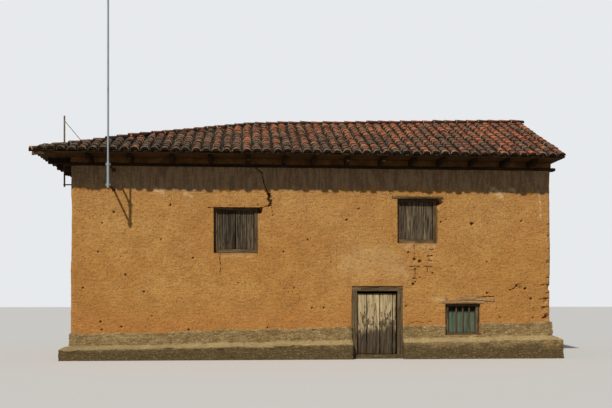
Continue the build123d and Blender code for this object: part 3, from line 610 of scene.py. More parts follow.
def timber_material(name, axis, dark, pale, split_colour=SPLIT_DARK, tightness=26.0):
    """Weathered timber whose grain runs along one axis."""
    made, shader, where = new_material(name)
    along = stretched(where, *(SQUEEZE if k == axis else 1.0 for k in range(3)))
    lines = use_group(grain, along, tightness)
    finish_shader(shader, layered(blend(lines["Lines"], dark, pale),
                                  (times(lines["Weather"], 0.4), dark),
                                  (times(lines["Splits"], 0.7), split_colour)),
                  (minus(lines["Lines"], lines["Splits"]), 0.006, 0.9))
    return made


timber_along = timber_material("old_timber_along_wall", 0, (70, 52, 34), (120, 95, 64))
inner_along = timber_material("inner_timber_along", 0, (112, 82, 52), (156, 122, 82))
inner_across = timber_material("inner_timber_across", 1, (112, 82, 52), (156, 122, 82))
upright_boards = timber_material("shutter_boards", 2, (53, 46, 36), (112, 99, 81),
                                 (20, 17, 13), 34.0)
print("timber", timber_along.name, inner_along.name, inner_across.name, upright_boards.name)

# %% [markdown]
# The door's upper half has bleached to a pale tan. Its lower half, splashed for years, is
# dark grey-brown and its grain stands out. The change follows the height, blurred by the
# grain, so it creeps higher on some boards than on others.

# %% Door board material
door_wood, shader, where = new_material("door_boards")
board_tone = attribute(where, "tone")
lines = use_group(grain, stretched(where, 1.0, 1.0, 0.045), 42.0)
level = axis_value(where, 2)
peeled = plus(noise_at(stretched(where, 1.0, 1.0, 0.30), 17.0, 4.0, 0.62),
              ramp(level, 1.10, 1.60, 0.07, -0.06))
pale = layered(blend(lines["Lines"], (166, 142, 100), (222, 200, 156)),
               (times(ramp(peeled, 0.57, 0.64), 0.95), (88, 73, 50)))
creep = plus(level, times(plus(lines["Weather"], board_tone), 0.3))
finish_shader(
    shader,
    layered(blend(ramp(creep, 0.88, 1.14),
                  blend(lines["Lines"], (48, 39, 29), (104, 89, 68)), pale),
            (times(board_tone, 0.35), (110, 96, 74)),
            (times(lines["Splits"], 0.75), (46, 38, 28))),
    (minus(lines["Lines"], lines["Splits"]), 0.006, 0.9))
print("material", door_wood.name)

# %% Faded green paint on the small window's boards, with painted shadow at their top
painted, shader, where = new_material("faded_green_boards", 0.8)
lines = use_group(grain, stretched(where, 1.0, 1.0, 0.05), 38.0)
worn = ramp(noise_at(stretched(where, 1.0, 1.0, 0.25), 14.0, 4.0), 0.5, 0.64)
finish_shader(
    shader,
    layered(blend(lines["Lines"], (66, 84, 68), (102, 120, 98)),
            (times(worn, 0.6), (120, 112, 92)),
            # Painted shadow of the window head across the top of the boards.
            (ramp(axis_value(where, 2), 1.23, 1.29, 0.0, 0.88), (30, 29, 24)),
            (times(lines["Splits"], 0.6), (36, 38, 30))),
    (lines["Lines"], 0.004, 0.8))
print("material", painted.name)

# %% Metals
HALF_METAL = 0.35

tube, shader, where = new_material("galvanised_tube", 0.42)
spangle = add_node(where.id_data, "ShaderNodeTexVoronoi", {"Vector": where, "Scale": 70.0})
streaks = noise_at(stretched(where, 1.0, 1.0, 0.12), 22.0, 4.0)
shader.inputs["Metallic"].default_value = HALF_METAL
finish_shader(shader, layered(blend(times(spangle.outputs["Distance"], 0.5),
                                    (158, 174, 178), (198, 208, 208)),
                              (ramp(streaks, 0.54, 0.72, 0.0, 0.45), (112, 120, 122))),
              (streaks, 0.0006, 0.5))

iron, shader, where = new_material("rusty_iron", 0.75)
rust = ramp(noise_at(where, 34.0, 5.0, 0.65), 0.42, 0.62)
shader.inputs["Metallic"].default_value = HALF_METAL
finish_shader(shader, blend(rust, (52, 46, 42), (112, 66, 40)), (rust, 0.0008, 0.7))

worn_tube, shader, where = new_material("worn_tube", 0.7)
flakes = ramp(noise_at(stretched(where, 1.0, 1.0, 0.3), 12.0, 5.0, 0.65), 0.40, 0.62)
finish_shader(shader, blend(flakes, (84, 70, 54), (158, 130, 98)), (flakes, 0.0006, 0.6))
print("materials", len(bpy.data.materials))

# %% [markdown]
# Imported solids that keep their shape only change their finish. The record says which slot
# each one takes its finish from.

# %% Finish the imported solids
slot_finish = {
    "adobe": mud, "rubble_plinth": rubble, "packed_mud": packed, "old_timber": timber_along,
    "inner_timber": inner_along, "weathered_boards": upright_boards,
    "painted_board": painted, "clay_tile": clay, "black_iron": iron, "galvanised_tube": tube,
}
own_finish = {"upper_floor_joists": inner_across, "rafters": inner_across,
              "hip_rafters": inner_across, "beam_filling": filling, "eave_packing": filling,
              "service_mast": worn_tube, "mast_brackets": iron}
for part in frame["record"]["subparts"]:
    solid = nodes[part["node"]]
    finish = own_finish.get(part["node"], slot_finish[part["material_slot"]])
    for holder in solid.material_slots:
        holder.material = finish
    if not solid.material_slots:
        solid.data.materials.append(finish)
print("finished", len(nodes), "solids")

# %% [markdown]
# ## Roof tiles
#
# The roof is laid with hand-made barrel tiles. Channels lie hollow side up on the boards,
# covers ride over the gap between two channels, and every course laps the one below by a
# third. One tile is modelled: half a tube, tapered, a finger thick. It is copied once for
# each place on the slope, each copy a little turned, shifted and higher or lower, because
# no two were laid alike. The copies of one slope are one joined mesh, with numbers on each
# tile for its clay and its lichen, and on the channels for painted shade. Where a slope
# meets the hip the tiles are cut, as a roofer cuts them, and the cut edge goes under the
# hip row.

# %% The slopes of the roof
ROOF_RUN = 3.575
ROOF_LEFT = -7.30
RISE_AT_HIP = 1.43
RISE_AT_VERGE = 1.63
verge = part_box("ridge_tiles")[1].x
ridge_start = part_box("ridge_tiles")[0].x
eave_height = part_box("eave_packing")[0].z
left_slope = RISE_AT_HIP / (ridge_start - ROOF_LEFT)
hip_run = Vector((ridge_start - ROOF_LEFT, ROOF_RUN, 0)).normalized()


def rise_at(x):
    share = max(0.0, (x - ridge_start) / (verge - ridge_start))
    return RISE_AT_HIP + share * (RISE_AT_VERGE - RISE_AT_HIP)


def long_bed(x, y):
    """Height of the boards of the front and back slope."""
    return eave_height + rise_at(x) * (ROOF_RUN - abs(y)) / ROOF_RUN


def left_bed(x, y):
    return eave_height + left_slope * (x - ROOF_LEFT)


def hip_cut(side, keep):
    """The upright plane over a hip; keep is 1 for the long slope, -1 for the hipped end."""
    return (ROOF_LEFT, side * ROOF_RUN, 0), (-keep * hip_run.y, -side * keep * hip_run.x, 0)


print("slopes", round(rise_at(-5) / ROOF_RUN, 3), round(left_slope, 3))

# %% One barrel tile, and a mud plug for the mouth of each cover at the eave
TILE_LENGTH = 0.43
TILE_WIDTH = 0.226
TILE_RISE = 0.086
TILE_THICK = 0.017
PLUG_CLEAR = 0.012
PLUG_LONG = 0.10
PLUG_SET_IN = 0.085
PLUG_SUNK = 0.006


def half_tube(name, points, radius, length, closed):
    """The upper half of a tube that lies along y."""
    made = new_shape(bpy.ops.mesh.primitive_cylinder_add, vertices=points, radius=radius,
                     depth=length, end_fill_type="NGON" if closed else "NOTHING",
                     rotation=(math.pi / 2, 0, 0))
    made.name = name
    with edit_mode(made):
        bpy.ops.mesh.bisect(plane_co=(0, 0, 0), plane_no=(0, 0, 1), clear_inner=True,
                            use_fill=closed)
    return made


tile = half_tube("barrel_tile", 16, TILE_WIDTH / 2, TILE_LENGTH, False)
places = points_of(tile)
taper = 0.90 - 0.20 * (places[:, 1] / TILE_LENGTH)
places[:, 0] *= taper
places[:, 2] *= taper * TILE_RISE / (TILE_WIDTH / 2)
move_points(tile, places)
use_modifier(tile, "SOLIDIFY", thickness=TILE_THICK, offset=-1.0)
with edit_mode(tile):
    bpy.ops.mesh.normals_make_consistent(inside=False)
# One at the wide lower end and nothing at the other, so that the rim can be paler.
tile_marks = {"down": points_of(tile)[:, 1] < 0,
              "crown": np.clip(points_of(tile)[:, 2] / TILE_RISE, 0, 1)}

plug = half_tube("mouth_plug", 12, TILE_WIDTH / 2 - PLUG_CLEAR, PLUG_LONG, True)
places = points_of(plug)
places[:, 2] = places[:, 2] * TILE_RISE / (TILE_WIDTH / 2) - PLUG_SUNK
places[:, 1] += PLUG_SET_IN - TILE_LENGTH / 2
move_points(plug, places)
print("tile", len(tile.data.vertices), "points", len(tile.data.polygons), "faces")


# %% Copies of a modelled thing, as one mesh
def lay(master, turns, name, shared=None, **numbers):
    """Join one copy of the master for each 4x4 turn.

    Numbers are one value for each copy; shared ones are one for each point of the master.
    """
    base = points_of(master)
    tall = np.hstack([base, np.ones((len(base), 1))])
    places = np.vstack([(tall @ np.array(turn).T)[:, :3] for turn in turns])
    faces = [tuple(k + i * len(base) for k in face.vertices)
             for i in range(len(turns)) for face in master.data.polygons]
    made = bpy.data.meshes.new(name)
    made.from_pydata(places.tolist(), [], faces)
    for key, values in numbers.items():
        write_numbers(made, key, np.repeat(values, len(base)))
    for key, values in (shared or {}).items():
        write_numbers(made, key, np.tile(values, len(turns)))
    piece = bpy.data.objects.new(name, made)
    bpy.context.scene.collection.objects.link(piece)
    return piece


def trim(piece, cuts):
    """Cut a piece by planes, each a place and a normal, and close it."""
    for place, normal in cuts:
        with edit_mode(piece):
            bpy.ops.mesh.bisect(plane_co=place, plane_no=normal, clear_outer=True, use_fill=True)


def spin(angle, axis):
    return Matrix.Rotation(angle, 4, axis)


# %% Where each tile goes
COLUMN_PITCH = 0.262
COURSE = 0.30
COVER_LIFT = 0.036
CHANNEL_LIFT = 0.062
# Added to the channels' number so their finish turns near black: painted shade between covers.
CHANNEL_PAINTED_SHADE = 1.3
EDGE_OUT = 0.060
UNEVEN_EDGE = 0.035
LAP_TILT = -0.05
SWAY = 0.012
SLIP = 0.012
SHIFT = 0.009
UNEVEN_LIFT = 0.006
YAW, PITCH, ROLL = 0.035, 0.015, 0.06
UNEVEN_SIZE = 0.04
SLOPE_LENGTH = 3.6
TONE_AT_EAVE, TONE_GAIN, TONE_SPREAD = 0.42, 0.25, 0.33

Slope = namedtuple("Slope", "bed steepness up_slope turn top")


def lichen_at(x, height_share):
    """How much has grown on a tile here: more at the hipped end and at the eave."""
    leftness = min(1.0, max(0.0, (1.0 - x) / 7.5))
    wavy = noise.fractal(Vector((x * 0.7, height_share * 3.0, 5.0)), 1.0, 2.0, 3)
    return (0.36 + 0.42 * leftness + 0.34 * (1 - height_share) ** 2 + 0.30 * wavy
            + jitter(0.32))


def tone_near(mean, spread):
    return min(1.0, max(0.0, random.gauss(mean, spread)))


def slope_tiles(columns, slope, channel):
    """Turns, tones and lichen for every cover or channel of one slope."""
    turns, tones, lichen_and_shade_values, edge_turns = [], [], [], []
    for column in columns:
        lean = math.atan(slope.steepness(column))
        top = slope.top(column)
        sway = jitter(SWAY)
        for course in range(int(top / (COURSE * math.cos(lean))) + 1):
            along = (course * COURSE + TILE_LENGTH / 2) * math.cos(lean)
            if along - TILE_LENGTH / 2 > top + 0.05:
                continue
            slip = jitter(SLIP if course else UNEVEN_EDGE)
            place = slope.up_slope(column + sway + jitter(SHIFT), along + slip)
            lift = (CHANNEL_LIFT if channel else COVER_LIFT) + jitter(UNEVEN_LIFT)
            place.z = slope.bed(place.x, place.y) + lift
            twist = spin(slope.turn, "Z") @ spin(lean, "X") @ spin(jitter(YAW), "Z")
            if channel:
                twist = twist @ spin(math.pi, "Y") @ spin(math.pi, "Z")
            else:
                twist = twist @ spin(LAP_TILT + jitter(PITCH), "X") @ spin(jitter(ROLL), "Y")
            grow = 1.0 + jitter(UNEVEN_SIZE)
            turns.append(Matrix.Translation(place) @ twist @ Matrix.Diagonal((grow, 1, grow, 1)))
            if course == 0:
                edge_turns.append(turns[-1])
            share = along / SLOPE_LENGTH
            tones.append(tone_near(TONE_AT_EAVE + TONE_GAIN * share, TONE_SPREAD))
            # Channels take extra, which paints them dark as shade between the covers.
            lichen_and_shade_values.append(lichen_at(place.x, share) + (CHANNEL_PAINTED_SHADE if channel else 0.0))
    return turns, tones, lichen_and_shade_values, edge_turns


def long_top(x):
    """Level depth from the eave to the ridge or hip."""
    reach = ROOF_RUN + EDGE_OUT
    if x > ridge_start:
        return reach
    return reach - max(0.0, ROOF_RUN - (x - ROOF_LEFT) * ROOF_RUN / (ridge_start - ROOF_LEFT))


def left_top(y):
    reach = ridge_start - ROOF_LEFT + EDGE_OUT
    return reach * (1 - abs(y) / (ROOF_RUN + EDGE_OUT))


long_columns = [verge - 0.10 - i * COLUMN_PITCH for i in range(54)]
long_columns = [x for x in long_columns if x > ROOF_LEFT - EDGE_OUT + 0.05]
left_columns = [(i - 13) * COLUMN_PITCH for i in range(27)]
print(len(long_columns), "columns in front,", len(left_columns), "on the hipped end")


# %% Lay the three slopes
def lay_tiles(name, turns, tones, lichen_and_shade_values, stands_for, cuts=()):
    piece = lay(tile, turns, name, tile_marks, tone=tones, lichen=lichen_and_shade_values)
    trim(piece, cuts)
    smooth_shade(piece, 50)
    dress(piece, clay, "clay_tile", stands_for=[stands_for])


def lay_slope(name, stands_for, columns, slope, cuts):
    """Covers over channels, with a plug in the mouth of each cover at the eave."""
    covers = slope_tiles(columns, slope, False)
    between = [(a + b) / 2 for a, b in zip(columns, columns[1:])]
    channels = slope_tiles(between, slope, True)
    lay_tiles(name + "_tiles", *(a + b for a, b in zip(covers[:3], channels[:3])),
              stands_for, cuts)
    mouths = lay(plug, covers[3], name + "_mouths")
    trim(mouths, cuts)
    dress(mouths, packed, "packed_mud")


for side, turn, name in ((-1, 0.0, "front"), (1, math.pi, "back")):
    slope = Slope(long_bed, lambda x: rise_at(x) / ROOF_RUN,
                  lambda x, d, s=side: Vector((x, s * (ROOF_RUN + EDGE_OUT - d), 0)),
                  turn, long_top)
    lay_slope(name + "_slope", "roof_tiles_" + name, long_columns, slope,
              [hip_cut(side, 1), ((0, 0, 0), (0, -side, 0))])
slope = Slope(left_bed, lambda y: left_slope,
              lambda y, d: Vector((ROOF_LEFT - EDGE_OUT + d, y, 0)), -math.pi / 2, left_top)
lay_slope("hipped_end", "roof_tiles_left", left_columns, slope,
          [hip_cut(-1, -1), hip_cut(1, -1)])

# %% [markdown]
# Under the tiles lies a bed of mud that closes the gaps at the eave. It is a copy of the
# packed tile layer, pressed down to a third of its height. Its near-black finish is painted
# shade in the gaps between the tiles.

# %% Bedding under the tiles
BEDDING = 0.03
FULL_LAYER = 0.11

for side, bed in (("front", long_bed), ("back", long_bed), ("left", left_bed)):
    bedding = solid_copy("bedding_" + side, "roof_tiles_" + side)
    places = points_of(bedding)
    for place in places:
        if place[2] > bed(place[0], place[1]) + FULL_LAYER / 2:
            place[2] += BEDDING - FULL_LAYER
        if abs(place[1]) > ROOF_RUN:
            place[1] = math.copysign(ROOF_RUN + 0.01, place[1])
        place[0] = max(place[0], ROOF_LEFT - 0.01)
    move_points(bedding, places)
    dress(bedding, gap_shade_bedding, "packed_mud", stands_for=["roof_tiles_" + side])

# %% [markdown]
# ## Ridge and hip rows
#
# Ridge and hip are covered with larger tiles set in mortar, end over end. On the hips they
# climb in steps that show against the sky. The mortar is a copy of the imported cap, sunk a
# little, so that the tiles stand on it.

# %% Ridge and hip tiles
RIDGE_PITCH = 0.345
RIDGE_GROW = (1.22, 1.0, 1.35)
ROW_LIFT = 0.050
ROW_LAP = -0.035
CORNER_DROP = 0.085
CORNER_REACH = 2.2
CAP_SINK = 0.070


def corner_drop(x):
    """How far the rows sink towards the hipped end's eave, from two metres up the hip."""
    return CORNER_DROP * np.maximum(0.0, 1 - (x - ROOF_LEFT) / CORNER_REACH)


def tile_row(start, end, tone_mean, lichen_shade_amount):
    """A row of cover tiles from start up to end, each lapping over the one below."""
    run = end - start
    heading = math.atan2(run.y, run.x) - math.pi / 2
    climb = math.atan2(run.z, math.hypot(run.x, run.y))
    turns, tones, lichen_and_shade_values = [], [], []
    for i in range(int(run.length / RIDGE_PITCH) + 1):
        place = start + run * ((i + 0.5) * RIDGE_PITCH / run.length)
        if (place - start).length > run.length:
            continue
        lift = ROW_LIFT - corner_drop(place.x)
        place += Vector((jitter(0.012), jitter(0.012), lift + jitter(0.010)))
        twist = (spin(heading + jitter(0.04), "Z") @ spin(climb + ROW_LAP + jitter(0.015), "X")
                 @ spin(jitter(0.05), "Y"))
        turns.append(Matrix.Translation(place) @ twist @ Matrix.Diagonal((*RIDGE_GROW, 1)))
        tones.append(tone_near(tone_mean, 0.25))
        lichen_and_shade_values.append(lichen_shade_amount(place.x) + jitter(0.3))
    return turns, tones, lichen_and_shade_values


ridge_low = Vector((ridge_start, 0, eave_height + RISE_AT_HIP))
ridge_high = Vector((verge - 0.03, 0, eave_height + RISE_AT_VERGE))
lay_tiles("ridge_row", *tile_row(ridge_low, ridge_high, 0.62, lambda x: 0.45 - 0.05 * x),
          "ridge_tiles")
hips = []
for side in (-1, 1):
    corner = Vector((ROOF_LEFT - 0.02, side * (ROOF_RUN + 0.02), eave_height))
    hips.append(tile_row(corner, ridge_low, 0.45, lambda x: 0.62))
lay_tiles("hip_rows", *(a + b for a, b in zip(*hips)), "hip_tiles")

for node_name in ("ridge_tiles", "hip_tiles"):
    mortar = solid_copy(node_name.replace("tiles", "mortar"), node_name)
    places = points_of(mortar)
    places[:, 2] -= CAP_SINK + np.minimum(corner_drop(places[:, 0]), CORNER_DROP)
    places[:, 1] *= 0.995
    move_points(mortar, places)
    dress(mortar, packed, "packed_mud", stands_for=[node_name])
discard(tile, plug)

# %% [markdown]
# ## Mud walls
#
# The walls are adobe brick with a coat of mud and straw laid on by hand. No face of them is
# flat: they swell and dip over a metre or two, and the coat itself is lumpy. The front wall
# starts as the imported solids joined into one, cut into a grid where it can be seen, and its
# points are pushed in and out by noise. The push has to go straight out of the wall and
# turn evenly round the corners, or the seams between the walls would open, so its direction
# is worked out from the place in the house and not from the mesh.

# %% Which way is out, and how far
WALL_HALF_X = -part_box("left_wall")[0].x
WALL_HALF_Y = -wall_front
CORNER = 0.09
SKIN = 0.20


def outward(places, half_x=WALL_HALF_X, half_y=WALL_HALF_Y, corner=CORNER):
    """Level direction out of the house at each place, zero inside the walls."""
    out = np.zeros_like(places)
    for axis, half in ((0, half_x), (1, half_y)):
        depth = np.abs(places[:, axis]) - (half - corner)
        out[:, axis] = np.sign(places[:, axis]) * np.clip(depth / corner, 0.0, None)
    length = np.linalg.norm(out, axis=1)
    return out / np.maximum(length, 1.0)[:, None]


def mud_push(places):
    """How far the render stands out of the wall plane at each place, in metres."""
    broad = rough(places, 1.9, 3.0, 2) * 0.020
    middle = rough(places, 0.42, 11.0, 3) * 0.010
    fine = rough(places, 0.11, 23.0, 2) * 0.0035
    return broad + middle + fine


def on_wall(column, row):
    """X and Z on the front wall of the point that the camera sees at this pixel."""
    side = (column - PHOTO_WIDTH / 2) / FOCAL_PIXELS
    cosine, sine = math.cos(CAMERA_TURN), math.sin(CAMERA_TURN)
    across = CAMERA_FROM_WALL * (sine + side * cosine) / (cosine - side * sine)
    depth = across * sine + CAMERA_FROM_WALL * cosine
    horizon = PHOTO_HEIGHT / 2 + HORIZON_BELOW_MIDDLE
    return CAMERA_X + across, CAMERA_HEIGHT + (horizon - row) * depth / FOCAL_PIXELS


print("door's top left corner on the wall", [round(v, 2) for v in on_wall(352, 287)])


# %% Join walls into one closed mesh and cut the seen faces into a grid
def gridded_wall(name, step, *node_names):
    """One closed copy of walls that stand on each other, its outside cut into squares."""
    whole = solid_copy(name, node_names[0])
    for node_name in node_names[1:]:
        other = solid_copy("other", node_name)
        use_modifier(whole, "BOOLEAN", operation="UNION", object=other, solver="EXACT")
        discard(other)

    def outside(face):
        middle = face.calc_center_median()
        return abs(middle.x) > WALL_HALF_X - SKIN or abs(middle.y) > WALL_HALF_Y - SKIN

    low, high = points_of(whole).min(axis=0), points_of(whole).max(axis=0)
    for axis in range(3):
        if high[axis] - low[axis] > 1.0:
            cut_in_steps(whole, axis, step, outside)
    return whole


FRONT_NODES = ("front_wall_upper", "front_wall_lower_left", "front_wall_lower_right")
front_wall = gridded_wall("mud_wall_front", 0.042, *FRONT_NODES)
print("front wall", len(front_wall.data.polygons), "faces")

# %% [markdown]
# ### Holes, cracks and bare bricks
#
# Nests of mason bees, lost chips and old putlog holes pit the front. A crack runs down from
# the eave past the left window, another drops below its sill, and beside the right window
# the coat has fallen off and the bricks show. Their places were read from the photograph as
# pixels and cast on the wall. The mesh is cut finer round each one before it is pushed in,
# so the holes have real depth and cast their own shadows.

# %% Places of the damage, in pixels, and its sizes
# Column, row, and size in millimetres.
HOLES = [
    (113.8, 212, 34), (102, 223, 26), (170.5, 205, 30), (209, 207, 30), (98, 252, 26),
    (193, 258, 26), (125.5, 275, 30), (144, 292, 30), (100.6, 322, 32), (102, 330, 26),
    (121.6, 327, 28), (188.6, 330, 30), (283.5, 252, 26), (308, 240, 26), (346.7, 220, 32),
    (359, 209, 24), (294, 288, 24), (312, 308, 26), (324, 308, 28), (267.6, 328, 26),
    (471.8, 224, 46), (521.6, 221, 30), (441, 222, 26), (446, 219.5, 22), (525, 289, 30),
    (500, 317.6, 28), (510, 290, 26), (517, 286, 24), (238, 283, 22), (331, 262, 22),
    (161, 240, 22), (487, 262, 24), (494, 302, 22), (83, 288, 26), (152, 316, 22),
    (408.4, 252.6, 30), (414.6, 259.5, 38), (419.7, 261.4, 44), (431.8, 261.4, 24),
    (415.3, 269.6, 28), (432.9, 273.3, 28), (419.9, 277.5, 22), (413.4, 284.4, 38),
    (415.4, 282, 24), (406, 306.5, 26), (487.1, 293.2, 34), (525.5, 288.6, 34),
    (530.9, 299, 36), (516.8, 285.4, 30), (533, 318, 26),
]
# Columns and rows of a line, and its width in metres.
CRACKS = [
    ([(256, 168), (260, 171), (262, 173), (264, 183), (267, 191), (269, 196)], 0.024),
    ([(269, 194), (269.6, 197), (269, 199), (271, 202), (270, 204)], 0.075),
    ([(271, 202), (272, 208), (272.6, 216)], 0.014),
    ([(259.5, 207.5), (266, 206.4), (271.3, 205)], 0.016),
    ([(220.4, 252), (220, 260), (221, 266), (220, 272)], 0.013),
    ([(396, 199), (391, 196), (389, 190)], 0.010),
    ([(414.6, 245), (414.4, 251), (414.8, 257)], 0.009),
    ([(415.4, 269), (415.2, 278)], 0.009),
    ([(426.5, 245), (426.2, 251)], 0.007),
    ([(427.6, 268.5), (427.6, 272)], 0.012),
    ([(410, 266.6), (416, 266.2), (420, 266.6)], 0.012),
    ([(424, 266.2), (432, 266.6)], 0.013),
    ([(429.5, 249.6), (433.8, 249.4)], 0.016),
    ([(428, 256.3), (432.4, 255.6)], 0.020),
    ([(413, 278.6), (416.4, 278.4)], 0.016),
    ([(299.5, 298.2), (300, 298)], 0.010),
    ([(457, 298.4), (463, 297.6), (470, 298.2), (482, 297.0), (494, 296.6)], 0.014),
    ([(510.4, 290.1), (514, 288.6), (516.6, 285.6)], 0.020),
    ([(543, 318), (547, 316.6), (552, 316)], 0.040),
    ([(541, 285.4), (545, 284.4)], 0.016),
    ([(546.5, 293), (552, 292)], 0.018),
    ([(540, 299.4), (546, 298.0), (551, 299.0)], 0.016),
    ([(544, 307.5), (551, 306.4)], 0.022),
    ([(533.6, 307.5), (533.4, 311)], 0.012),
    ([(547, 277.6), (552, 277.2)], 0.018),
    ([(546, 262.5), (552, 262)], 0.014),
    ([(548, 249), (552, 248.6)], 0.012),
    ([(547.5, 236), (552, 236)], 0.012),
    ([(548, 224.3), (552, 224)], 0.014),
    ([(411, 323.4), (416, 321.6), (423, 322.4), (432, 321.4)], 0.007),
]
BARE = on_wall(406, 288) + on_wall(437, 245)
# Column, row, and radius and depth in metres.
CAVITIES = [(547, 317, 0.10, 0.07), (546, 300, 0.09, 0.05), (549, 287, 0.08, 0.05),
            (543, 309, 0.07, 0.04), (548, 262, 0.06, 0.035), (549, 236, 0.05, 0.03),
            (258.6, 210.5, 0.12, 0.20), (437.6, 202.5, 0.12, 0.20), (520, 287, 0.10, 0.02),
            (430, 261, 0.05, 0.03), (446.5, 299.5, 0.10, 0.02)]
# Where the coat has dried or washed pale: a line on the wall, its half width, its strength.
PALE = [([(155, 189.5), (162, 191.5)], 0.10, 0.8), ([(185, 194), (190, 195)], 0.08, 0.7),
        ([(494, 190), (498, 194), (502, 196)], 0.13, 0.9),
        ([(511, 188), (514, 191)], 0.07, 0.8),
        ([(539.5, 191), (539.8, 204), (540, 216)], 0.03, 1.0),
        ([(350, 262), (372, 258), (396, 264)], 0.55, 0.26), ([(402, 270), (406, 275)], 0.12, 0.5),
        ([(405, 247), (434, 247)], 0.10, 0.4), ([(431, 254), (432, 262)], 0.08, 0.45),
        ([(433, 300), (444, 299)], 0.06, 0.7), ([(221, 256), (252, 255)], 0.08, 0.3)]

hole_places = [(*on_wall(u, v), size / 1000) for u, v, size in HOLES]
crack_lines = [([on_wall(u, v) for u, v in line], width) for line, width in CRACKS]
cavity_places = [(*on_wall(u, v), radius, depth) for u, v, radius, depth in CAVITIES]
pale_lines = [([on_wall(u, v) for u, v in line], width, share) for line, width, share in PALE]
print(len(hole_places), "holes,", len(crack_lines), "cracks")


# %% How near each point is to the damage
def near_line(places, line):
    """Distance in the wall plane from each place to a line of points."""
    best = np.full(len(places), 9.0)
    flat = places[:, [0, 2]]
    for start, end in zip(line, line[1:]):
        start, end = np.array(start), np.array(end)
        along = end - start
        share = np.clip((flat - start) @ along / (along @ along), 0, 1)
        best = np.minimum(best, np.linalg.norm(flat - start - share[:, None] * along, axis=1))
    return best


def near_spot(places, x, z):
    return np.hypot(places[:, 0] - x, places[:, 2] - z)


def in_bare_patch(places):
    """One inside the fallen patch, falling to nothing at its ragged edge."""
    x_low, z_low, x_high, z_high = BARE
    inside = np.minimum.reduce([places[:, 0] - x_low, x_high - places[:, 0],
                                places[:, 2] - z_low, z_high - places[:, 2]])
    return share_of(inside + rough(places, 0.22, 41.0, 3) * 0.16, 0.05)


# %% Cut finer round the damage
SKIN_DEPTH = 0.02


def near_damage(places):
    close = in_bare_patch(places) > 0
    for x, z, size in hole_places:
        close |= near_spot(places, x, z) < size + 0.05
    for line, width in crack_lines:
        close |= near_line(places, line) < width + 0.06
    for x, z, radius, depth in cavity_places:
        close |= near_spot(places, x, z) < radius + 0.06
    return close


places = points_of(front_wall)
chosen = near_damage(places) & (places[:, 1] < wall_front + SKIN_DEPTH)
with edit_mode(front_wall):
    bpy.ops.mesh.select_mode(type="FACE")
    bpy.ops.mesh.select_all(action="DESELECT")
    bpy.ops.object.mode_set(mode="OBJECT")
    flags = [all(chosen[k] for k in face.vertices) for face in front_wall.data.polygons]
    front_wall.data.polygons.foreach_set("select", flags)
    bpy.ops.object.mode_set(mode="EDIT")
    bpy.ops.mesh.subdivide(number_cuts=3)
print("front wall", len(front_wall.data.polygons), "faces")

# %% Push the front wall about
BRICK_LONG = 0.33
BRICK_HIGH = 0.27
JOINT = 0.010
JOINT_EDGE = 0.008

places = points_of(front_wall)
push = mud_push(places)
wear_and_hollow_shade = np.zeros(len(places))
skin = places[:, 1] < wall_front + SKIN_DEPTH
rim_noise = rough(places, 0.05, 7.0, 1)
# The number set here is high in holes and cracks, and the finish paints them dark as shade.
for x, z, size in hole_places:
    pit = np.clip(1.25 - near_spot(places, x, z) / (size * (1.0 + 0.35 * rim_noise)), 0, 1)
    push -= np.sqrt(pit) * size * 1.5 * skin
    wear_and_hollow_shade = np.maximum(wear_and_hollow_shade, pit)
for line, width in crack_lines:
    ragged = width * (0.75 + 0.7 * rough(places, 0.045, 61.0, 2))
    open_share = np.clip(1.0 - near_line(places, line) / np.maximum(ragged, 0.004), 0, 1)
    push -= np.sqrt(open_share) * (0.045 + width) * skin
    wear_and_hollow_shade = np.maximum(wear_and_hollow_shade, open_share)
for x, z, radius, depth in cavity_places:
    edge = radius * (1.0 + 0.5 * rough(places, 0.09, 17.0, 2))
    hollow = np.clip(1.0 - near_spot(places, x, z) / edge, 0, 1)
    push -= np.sqrt(hollow) * depth
    # Deep hollows, such as those at the windows' top corners, get a high number: painted shade.
    wear_and_hollow_shade = np.maximum(wear_and_hollow_shade, np.minimum(hollow * (1.8 if depth > 0.1 else 0.7), 0.9))

# The bare patch shows courses of brick, each shifted by half a brick.
bare = in_bare_patch(places) * skin
course = np.floor((places[:, 2] - BARE[1]) / BRICK_HIGH)
across = places[:, 0] + course * BRICK_LONG * 0.5 + 0.03 * rough(places, 0.3, 5.0, 1)
side_gap = np.abs((across / BRICK_LONG) % 1.0 - 0.5) * BRICK_LONG
level_gap = np.abs(((places[:, 2] - BARE[1]) / BRICK_HIGH) % 1.0 - 0.5) * BRICK_HIGH
in_joint = np.maximum(share_of(side_gap - BRICK_LONG / 2 + JOINT, JOINT_EDGE),
                      share_of(level_gap - BRICK_HIGH / 2 + JOINT * 0.8, JOINT_EDGE))
push -= bare * (0.008 + 0.007 * in_joint)
wear_and_hollow_shade = np.maximum(wear_and_hollow_shade, bare * 0.12)

pale = np.zeros(len(places))
for line, width, share in pale_lines:
    edge = width * (1.0 + 0.8 * rough(places, width * 0.8 + 0.02, 29.0, 2))
    near = np.clip(1.6 * (1.0 - near_line(places, line) / np.maximum(edge, 0.004)), 0, 1)
    near *= np.clip(0.75 + 1.1 * rough(places, 0.06, 3.0, 2), 0, 1)
    pale = np.maximum(pale, near * share * skin)
write_numbers(front_wall.data, "pale", pale)


def push_wall(wall, places, push, wear_and_hollow_shade, stands_for):
    move_points(wall, places + outward(places) * push[:, None])
    write_numbers(wall.data, "wear_and_hollow_shade", wear_and_hollow_shade)
    smooth_shade(wall, 50)
    dress(wall, mud, "adobe", stands_for=stands_for)


push_wall(front_wall, places, push, wear_and_hollow_shade, FRONT_NODES)

# %% [markdown]
# The back and the two ends get the same skin with the same noise, only from a wider grid,
# because nothing on them is as small as the damage in front. They meet the front wall at
# its ends, where the noise has the same value on both sides of the seam.

